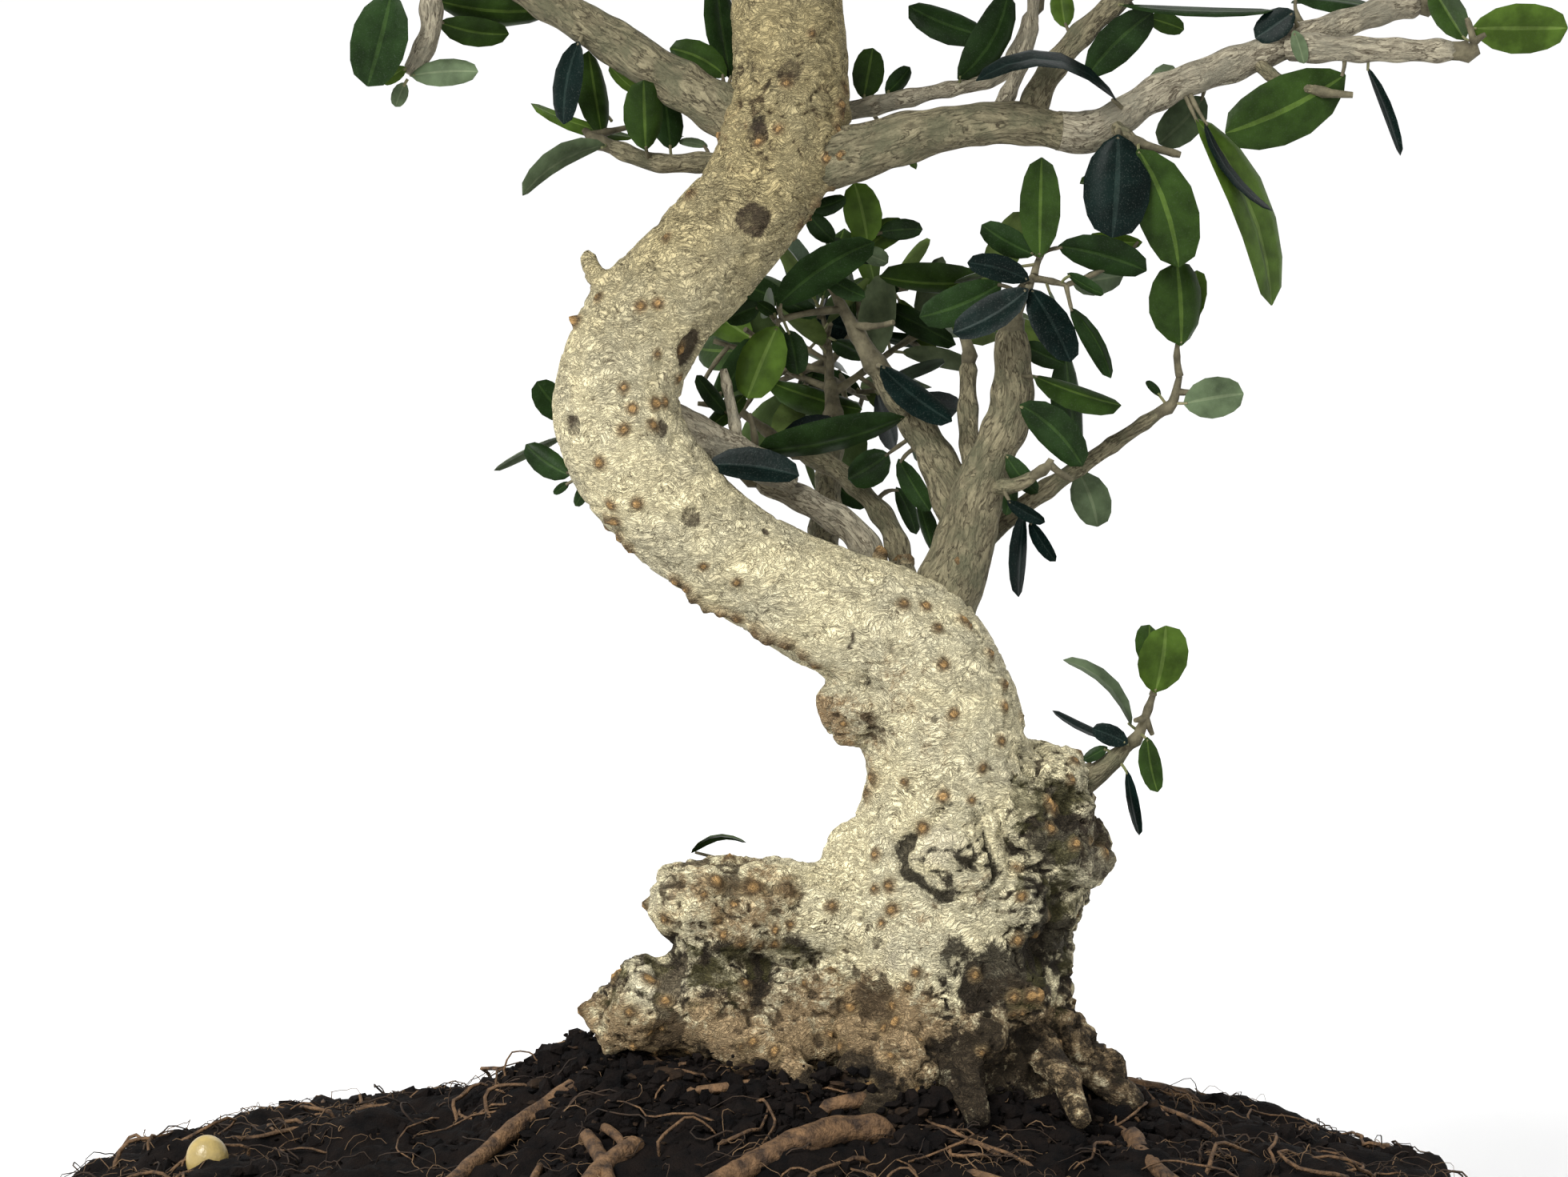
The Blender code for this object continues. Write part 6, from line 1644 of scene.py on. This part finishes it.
    def build(self) -> list[Thing]:
        """The leaves by tone, the twigs and the stalks, each kind one piece."""
        self.grow()
        made = []
        for tone in Tone:
            blades = self.shape.blades([leaf for leaf in self.leaves if leaf.tone is tone])
            piece = blades.to_object(f"leaves_{tone.name.lower()}", [finish.made() for finish in tone.finishes], 50)
            made.append(settled(piece, "leaf"))
        for name, routes, finish, slot, corners in (("twigs", self.twigs, TWIG_GREY, "bough_bark", 7),
                                                    ("leaf_stalks", self.stalks, STALK_GREEN, "leaf", 5)):
            parts = [tubes(route[None, :, :3], self.knotted(route)[None], corners) for route in routes]
            piece = Surface.merged(parts).to_object(name, [finish.made()], 70)
            made.append(settled(piece, slot))
        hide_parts(*(mass.name for mass in MASSES))
        return made

    def knotted(self, route: Array) -> Array:
        """Radii along a twig with a small bell at every joint."""
        along = lengths_along(route)
        joints = np.arange(0.004, along[-1], 0.0065)[:, None]
        return route[:, 3] * (1 + 0.25 * np.exp(-((along[None] - joints) / 0.0009) ** 2).sum(0))


# ---- the root ball


@dataclass
class RootBall:
    """The bare root ball: a rough mound of dark soil with crumbs, chips and a felt of fine roots."""

    length: float = 0.266
    depth: float = 0.222
    mound_top: float = 0.0670
    rim_top: float = 0.0410
    shoulder: float = 0.0350
    flat: float = 0.28
    fall: float = 0.75
    lump: float = 0.0012
    left_hollow: float = 0.0038
    soil_seed: int = 3
    seed: int = 31
    turns: int = 384
    root_corners: int = 14
    stations: int = 10
    eye_slope: float = math.tan(math.radians(4.5))
    surface_roots: tuple[tuple[Row, ...], ...] = (
        ((0.026, -0.040, 0.0030), (0.008, -0.050, 0.0030), (-0.008, -0.062, 0.0027), (-0.013, -0.084, 0.0022)),
        ((-0.028, -0.018, 0.0024), (-0.044, -0.028, 0.0020), (-0.058, -0.050, 0.0016), (-0.078, -0.062, 0.0012)),
        ((-0.020, -0.046, 0.0020), (-0.030, -0.060, 0.0020), (-0.030, -0.084, 0.0015)),
        ((0.068, -0.020, 0.0024), (0.072, -0.040, 0.0016), (0.084, -0.060, 0.0012)),
        ((0.018, 0.046, 0.0030), (0.010, 0.064, 0.0024), (-0.010, 0.084, 0.0016)),
        ((0.052, 0.028, 0.0026), (0.072, 0.044, 0.0020), (0.090, 0.050, 0.0014)),
    )
    # Roots as seen from the best side: x, z, radius and lift above the soil along each, in millimetres.
    seen_roots: tuple[tuple[Row, ...], ...] = (
        ((10.5, 59.8, 1.7, 0.5), (18.0, 61.2, 1.6, 1.0), (27.0, 61.3, 1.5, 0.2)),
        ((-15.0, 62.0, 0.9, 0.6), (1.5, 63.5, 1.1, 1.2), (10.5, 60.5, 1.0, 0.4)),
        ((-32.2, 56.8, 1.6, 0.4), (-28.0, 52.0, 1.5, 0.8), (-25.5, 47.0, 1.4, 0.5), (-25.5, 42.0, 1.2, 0.2)),
        ((-28.5, 56.8, 1.0, 0.3), (-25.0, 55.0, 1.0, 1.0), (-24.0, 53.0, 0.8, 0.2)),
        ((-39.0, 50.8, 0.8, 0.3), (-41.0, 47.0, 0.8, 0.7), (-42.0, 44.0, 0.6, 0.2)),
        ((36.0, 50.8, 0.8, 0.2), (45.0, 48.5, 0.9, 0.8), (52.5, 45.5, 0.7, 0.2)),
        ((67.5, 66.5, 0.5, 0.2), (76.0, 66.0, 0.5, 2.2), (82.5, 64.3, 0.45, 2.4), (87.0, 59.0, 0.4, 0.2)),
        ((69.0, 62.8, 0.5, 0.2), (74.0, 62.6, 0.5, 1.6), (78.0, 61.3, 0.45, 0.2)),
        ((65.3, 61.3, 1.1, 0.5), (66.2, 54.5, 0.9, 0.4), (72.0, 50.0, 0.8, 0.6), (73.5, 45.5, 0.6, 0.3)),
    )
    near_share: float = 0.35
    bead_place: tuple[float, float] = (-102.9, 48.4)

    def __post_init__(self) -> None:
        """Draws the waves of the soil's unevenness in the same order as the part's source."""
        rng = random.Random(self.soil_seed)
        self.waves = [(rng.uniform(0, math.tau), rng.uniform(0.014, 0.036), rng.uniform(0, math.tau))
                      for _ in range(9)]

    def rise(self, x: Array, y: Array) -> Array:
        """The soil's unevenness: a sum of nine sine waves."""
        total = sum(np.sin((x * math.cos(a) + y * math.sin(a)) * math.tau / w + p) for a, w, p in self.waves)
        return self.lump * total / math.sqrt(4.5)

    def even_top(self, share: float | Array) -> Array:
        """The mound's even form: level at the crown, then falling to the rim by a power of the distance."""
        along = np.maximum(0.0, (share - self.flat) / (1 - self.flat))
        return self.mound_top - (self.mound_top - self.rim_top) * along ** self.fall

    def top(self, x: Array, y: Array) -> Array:
        """Height of the mound: the even form, plus the unevenness, less a hollow at the left."""
        share = np.minimum(1.0, np.hypot(x / (self.length / 2), y / (self.depth / 2)))
        hollow = self.left_hollow * np.exp(-((x + 0.063) / 0.024) ** 2) * eased(share, 0.98, 0.80)
        return self.even_top(share) + self.rise(x, y) - hollow

    def roughness(self, points: Array) -> Array:
        """Crumbly relief of the soil: layered noise and the tops of cells."""
        nearest, _ = cell_field(points, 0.0046, 15)
        return 0.0013 * layered_noise(points, 0.0060, 14, 4) + 0.0012 * (0.5 - nearest)

    def skin(self, v: Array, turn: Array) -> Array:
        """Points of the ball: v from 0 to 1 runs over the mound, from 1 to 2 down the side to the flat underside.

        Args:
            v: How far down the profile each point is.
            turn: Its angle about the middle.

        Returns:
            Points, with the side bulging by the same waves as the top.
        """
        half = self.length / 2
        over = np.minimum(v, 1.0) * 0.97
        corner = self.even_top(0.97)
        side = smooth_route([(0.94, 0.0, self.even_top(0.94), 0.0), (0.97, 0.0, corner, 0.0),
                             (1.0, 0.0, self.shoulder, 0.0), (0.995, 0.0, 0.66 * self.shoulder, 0.0),
                             (0.965, 0.0, 0.30 * self.shoulder, 0.0), (0.90, 0.0, 0.0, 0.0)], 8)[8:]
        down = np.clip(v - 1.0, 0.0, 1.0) * (len(side) - 1)
        out = np.where(v <= 1.0, over, np.interp(down, np.arange(len(side)), side[:, 0]))
        x, y = half * out * np.cos(turn), self.depth / 2 * out * np.sin(turn)
        flat_top = self.top(x, y) - self.rise(x, y)
        z = np.where(v <= 1.0, flat_top, np.interp(down, np.arange(len(side)), side[:, 2]))
        z = z + self.rise(x, y) * eased(z, self.shoulder * 0.94, self.shoulder * 1.06)
        bulge = 1 + self.rise(x + z, y - z) / half * np.minimum(1.0, z / self.shoulder)
        return np.stack([x * bulge, y * bulge, np.maximum(z, 0.0)], axis=-1)

    def soil(self) -> Surface:
        """The whole skin, closed beneath, with its crumbly relief along the outward normals."""
        v = np.concatenate([np.linspace(2.0, 1.0, 54), np.linspace(1.0, 0.0, 132)[1:-1]])
        body = self.skin(*np.broadcast_arrays(v[:, None], turns_of(self.turns)[None]))
        normal = unit(np.cross(np.roll(body, -1, 1) - np.roll(body, 1, 1), np.gradient(body, axis=0)))
        relief = self.roughness(body.reshape(-1, 3)).reshape(body.shape[:2]) * eased(body[..., 2], 0.0, 0.006)
        body = body + normal * relief[..., None]
        under = [body[0] * np.array([k, k, 0.0]) for k in (0.05, 0.4, 0.75, 0.93)]
        body = np.concatenate([np.stack(under), body])
        path = np.zeros((len(body), 3))
        path[:, 2] = np.linspace(0.0, self.mound_top, len(body))
        path[-1, 2] = self.top(np.zeros(1), np.zeros(1))[0]
        surface = level_rings(path, body[None, ..., :2])
        surface.points[:-2, 2] = body[..., 2].ravel()
        return surface

    def scattered(self, count: int, rng: np.random.Generator, side_share: float = 0.25) -> tuple[Array, Array, Array]:
        """Random places on the skin, dense towards the best side's slope.

        Args:
            count: How many.
            rng: The seeded draws.
            side_share: The share of them that lie down the side.

        Returns:
            Their v, turn and points.
        """
        v = np.where(rng.random(count) < side_share, rng.uniform(1.0, 1.95, count), np.sqrt(rng.random(count)))
        turn = rng.uniform(0, math.tau, count)
        return v, turn, self.skin(v, turn)

    def lumps(self, count: int, sizes: Row, rng: np.random.Generator, flatness: float = 0.8) -> Surface:
        """Crumbs: twelve-cornered balls with every corner pushed in or out, stretched and turned at random.

        Args:
            count: How many.
            sizes: Smallest and largest radius; small ones are much the commonest.
            rng: The seeded draws.
            flatness: How high they are against their width.

        Returns:
            All the crumbs as one surface.
        """
        golden = (1 + math.sqrt(5)) / 2
        ball = unit(np.array([(-1, golden, 0), (1, golden, 0), (-1, -golden, 0), (1, -golden, 0),
                              (0, -1, golden), (0, 1, golden), (0, -1, -golden), (0, 1, -golden),
                              (golden, 0, -1), (golden, 0, 1), (-golden, 0, -1), (-golden, 0, 1)], float))
        faces = np.array([(0, 11, 5), (0, 5, 1), (0, 1, 7), (0, 7, 10), (0, 10, 11), (1, 5, 9), (5, 11, 4),
                          (11, 10, 2), (10, 7, 6), (7, 1, 8), (3, 9, 4), (3, 4, 2), (3, 2, 6), (3, 6, 8),
                          (3, 8, 9), (4, 9, 5), (2, 4, 11), (6, 2, 10), (8, 6, 7), (9, 8, 1)])
        v, turn, places = self.scattered(count, rng)
        near = rng.random(count) < self.near_share
        out = rng.uniform(0.72, 1.25, count)
        x, y = 0.016 + 0.058 * out * np.cos(turn), -0.006 + 0.034 * out * np.sin(turn)
        piled = self.top(x, y) + rng.random(count) * 0.008 * (1.25 - out)
        places[near] = np.stack([x, y, piled], axis=1)[near]
        size = sizes[0] * (sizes[1] / sizes[0]) ** (rng.random(count) ** 2.2)
        shape = ball[None] * rng.uniform(0.72, 1.25, (count, 12, 1)) * rng.uniform(0.6, 1.5, (count, 1, 3))
        shape[..., 2] *= flatness
        turn = rng.uniform(0, math.tau, count)[:, None]
        x = shape[..., 0] * np.cos(turn) - shape[..., 1] * np.sin(turn)
        y = shape[..., 0] * np.sin(turn) + shape[..., 1] * np.cos(turn)
        points = np.stack([x, y, shape[..., 2]], axis=-1) * size[:, None, None] + places[:, None]
        points[..., 2] = np.maximum(points[..., 2] - 0.4 * size[:, None], 0.0)
        triangles = (faces[None] + (np.arange(count) * 12)[:, None, None]).reshape(-1, 3)
        return Surface.plain(points.reshape(-1, 3), triangles=triangles)

    def rootlets(self, count: int, lengths: Row, radii: Row, lift: float, rng: np.random.Generator) -> Surface:
        """Fine roots that wander over the skin and arch off it.

        Each walks on from a random place with a heading that turns by a smooth random amount, and is lifted by
        an arch of sin(pi t) with ripples; both ends go into the soil.

        Args:
            count: How many.
            lengths: Shortest and longest.
            radii: Thinnest and thickest.
            lift: The greatest height of an arch.
            rng: The seeded draws.

        Returns:
            All the rootlets as one surface.
        """
        v, turn, _ = self.scattered(count, rng, 0.35)
        heading = rng.uniform(0, math.tau, count)
        curl = rng.normal(0, 0.28, count)
        step = (lengths[0] * (lengths[1] / lengths[0]) ** rng.random(count)) / (self.stations - 1)
        places, normals = [], []
        for _ in range(self.stations):
            here = self.skin(v, turn)
            down = (self.skin(v + 0.004, turn) - here) / 0.004
            round_ = (self.skin(v, turn + 0.004) - here) / 0.004
            places.append(here)
            normals.append(unit(np.cross(down, round_)))
            v = np.clip(v + step * np.cos(heading) / np.maximum(np.linalg.norm(down, axis=1), 0.02), 0.02, 1.96)
            turn = turn + step * np.sin(heading) / np.maximum(np.linalg.norm(round_, axis=1), 0.01)
            heading = heading + curl + rng.normal(0, 0.32, count)
        path, normal = np.stack(places, 1), np.stack(normals, 1)
        t = np.linspace(0, 1, self.stations)[None]
        height = lift * rng.random((count, 1)) ** 2.0
        arch = height * np.sin(math.pi * t) + 0.0004 * np.sin(t * math.tau * 2 + rng.uniform(0, 6, (count, 1)))
        arch = arch + 0.0006 - 0.0016 * (np.abs(2 * t - 1) ** 6)
        path = path + normal * arch[..., None]
        path[..., 2] = np.maximum(path[..., 2], 0.0006)
        radius = radii[0] * (radii[1] / radii[0]) ** rng.random((count, 1)) * (1.0 - 0.45 * t)
        return tubes(path, radius, 4)

    def on_soil(self, x: float, z: float) -> Array:
        """The place on the mound that is seen at x and z, in millimetres, from the best side."""
        y = np.linspace(-0.106, -0.004, 400)
        height = self.top(np.full_like(y, x * MM), y)
        pick = np.argmin(np.abs(height + y * self.eye_slope - z * MM))
        return np.array([x * MM, y[pick], height[pick]])

    def thick_roots(self) -> Surface:
        """Barked roots over the soil: round tubes with lengthwise relief, swelling a little at random."""
        routes = [[(x, y, float(self.top(np.array([x]), np.array([y]))[0]) + 0.3 * radius, radius)
                   for x, y, radius in stations] for stations in self.surface_roots]
        for stations in self.seen_roots:
            route = []
            for x, z, radius, lift in stations:
                place = self.on_soil(x, z - lift)
                route.append((*(place + np.array([0.0, 0.0, lift * MM])), radius * MM))
            routes.append(route)
        surfaces = []
        for k, stations in enumerate(routes):
            route = resampled(smooth_route(stations, 10), 0.0007)
            route[:, 1] += 0.5 * layered_noise(route[:, :3], 0.008, 300 + k, 2) * route[:, 3]
            turn = turns_of(self.root_corners)
            ring = np.stack(np.broadcast_arrays(np.cos(turn)[None], np.sin(turn)[None],
                                                lengths_along(route)[:, None] * 150), axis=-1)
            relief = 0.9 + 0.16 * layered_noise(ring, 0.7, 320 + k, 3)
            share = np.arange(len(route)) / (len(route) - 1)
            end = 1 - eased(share, 1.0, 0.86) * eased(share, 0.0, 0.10)
            route[:, 2] -= 2.4 * route[:, 3] * end
            surfaces.append(tubes(route[None, :, :3], (route[:, 3:4] * relief * (1 - 0.4 * end[:, None]))[None],
                                  self.root_corners))
        return Surface.merged(surfaces)

    def bead(self) -> Surface:
        """The small clear dome that lies on the soil, a ball cut off beneath."""
        return ball(self.on_soil(*self.bead_place), (0.0040, 0.0036, 0.0046), (-0.6, 1.45), 32)

    def build(self) -> list[Thing]:
        """All the pieces of the root ball."""
        rng = np.random.default_rng(self.seed)
        soil = self.soil().to_object("root_ball_soil", [SOIL_FINE.made()])
        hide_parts("root_ball")
        made = [settled(soil, "soil")]
        for name, surface, finish in (
            ("crumbs_dark", self.lumps(7000, (0.0004, 0.0030), rng), SOIL_FINE),
            ("clods", self.lumps(900, (0.0014, 0.0032), rng), SOIL_FINE),
            ("crumbs_brown", self.lumps(1500, (0.0004, 0.0022), rng, 0.55), SOIL_BROWN),
            ("rootlets_tan", self.rootlets(1100, (0.004, 0.014), (0.00006, 0.00016), 0.0022, rng), ROOT_TAN),
            ("rootlets_dark", self.rootlets(800, (0.006, 0.020), (0.00009, 0.00028), 0.0026, rng), ROOT_DARK),
            ("roots_medium", self.rootlets(220, (0.012, 0.034), (0.00026, 0.00055), 0.0034, rng), ROOT_RED),
            ("surface_roots", self.thick_roots(), ROOT_RED), ("amber_bead", self.bead(), BEAD_AMBER),
        ):
            flat = 30 if name.startswith(("crumbs", "clods")) else 180
            made.append(settled(surface.to_object(name, [finish.made()], flat), "soil"))
        return made


# ---- studio


@dataclass
class Studio:
    """The plain pale floor, soft lights and camera."""

    floor_half: float = 30.0
    horizon: float = 1.03
    zenith: float = 0.50
    sun: float = 2.7
    sun_angle: float = math.radians(30)
    sun_from: Row = (-0.55, -0.80, 0.95)
    target: Row = (0.0045, 0.0, 0.1542)
    distance: float = 0.9
    elevation: float = math.radians(4.5)
    lens: float = 110.2
    sensor: float = 36.0
    lamps: tuple[tuple[Row, float, float, Colour], ...] = (
        ((-0.60, -0.95, 0.75), 0.50, 5.0, (1.0, 0.985, 0.96)), ((0.30, 0.95, 1.10), 0.8, 3.0, (1.0, 1.0, 1.0)),
    )

    def floor(self) -> None:
        """A wide flat sheet just under the ball."""
        h = self.floor_half
        corners = np.array([(-h, -h, 0.0), (h, -h, 0.0), (h, h, 0.0), (-h, h, 0.0)])
        sheet = Surface.plain(corners, np.arange(4)[None])
        sheet.to_object("studio_floor", [FLOOR_WHITE.made()])

    def light(self) -> None:
        """A world that is white about the horizon and dimmer overhead, a wide soft sun and soft lamps."""
        world = bpy.data.worlds.new("studio_world")
        world.use_nodes = True
        nodes, links = world.node_tree.nodes, world.node_tree.links
        split, fall = nodes.new("ShaderNodeSeparateXYZ"), nodes.new("ShaderNodeMapRange")
        links.new(nodes.new("ShaderNodeTexCoord").outputs["Generated"], split.inputs[0])
        links.new(split.outputs["Z"], fall.inputs["Value"])
        for name, number in (("From Min", 0.22), ("From Max", 0.60), ("To Min", self.horizon), ("To Max", self.zenith)):
            fall.inputs[name].default_value = number
        links.new(fall.outputs[0], nodes["Background"].inputs["Strength"])
        nodes["Background"].inputs["Color"].default_value = (1.0, 1.0, 1.0, 1.0)
        bpy.context.scene.world = world
        sun = bpy.data.lights.new("soft_sun", "SUN")
        sun.energy, sun.angle = self.sun, self.sun_angle
        self.aimed(bpy.data.objects.new(sun.name, sun), self.sun_from)
        for number, (place, size, power, colour) in enumerate(self.lamps):
            lamp = bpy.data.lights.new(f"soft_lamp_{number}", "AREA")
            lamp.size, lamp.energy, lamp.color = size, power, colour
            self.aimed(bpy.data.objects.new(lamp.name, lamp), place)

    def aimed(self, thing: Thing, place: Sequence[float]) -> None:
        """Puts a lamp or camera at a place, looking at the target."""
        thing.location = place
        look = Vector(self.target) - Vector(place)
        thing.rotation_euler = look.to_track_quat("-Z", "Y").to_euler()
        bpy.context.scene.collection.objects.link(thing)

    def camera(self) -> None:
        """The camera in front, a little above the target."""
        made = bpy.data.cameras.new("camera")
        made.lens, made.sensor_width, made.sensor_fit = self.lens, self.sensor, "HORIZONTAL"
        made.clip_start, made.clip_end = 0.01, 100.0
        viewer = bpy.data.objects.new("camera", made)
        drop, rise = self.distance * math.cos(self.elevation), self.distance * math.sin(self.elevation)
        self.aimed(viewer, (self.target[0], self.target[1] - drop, self.target[2] + rise))
        bpy.context.scene.camera = viewer

    def build(self) -> None:
        """Floor, lights, camera and the plain view transform."""
        self.floor()
        self.light()
        self.camera()
        bpy.context.scene.view_settings.view_transform = "Standard"


def main() -> None:
    """Builds every sub-assembly in order, then the studio."""
    logging.basicConfig(level=logging.INFO, format="%(message)s")
    pieces = [Trunk().build(), *Boughs().build(), *Foliage().build(), *RootBall().build()]
    triangles = [sum(len(face.vertices) - 2 for face in piece.data.polygons) for piece in pieces]
    LOG.info("%d pieces, %d triangles, at most %d in one", len(pieces), sum(triangles), max(triangles))
    Studio().build()


if __name__ == "__main__":
    main()
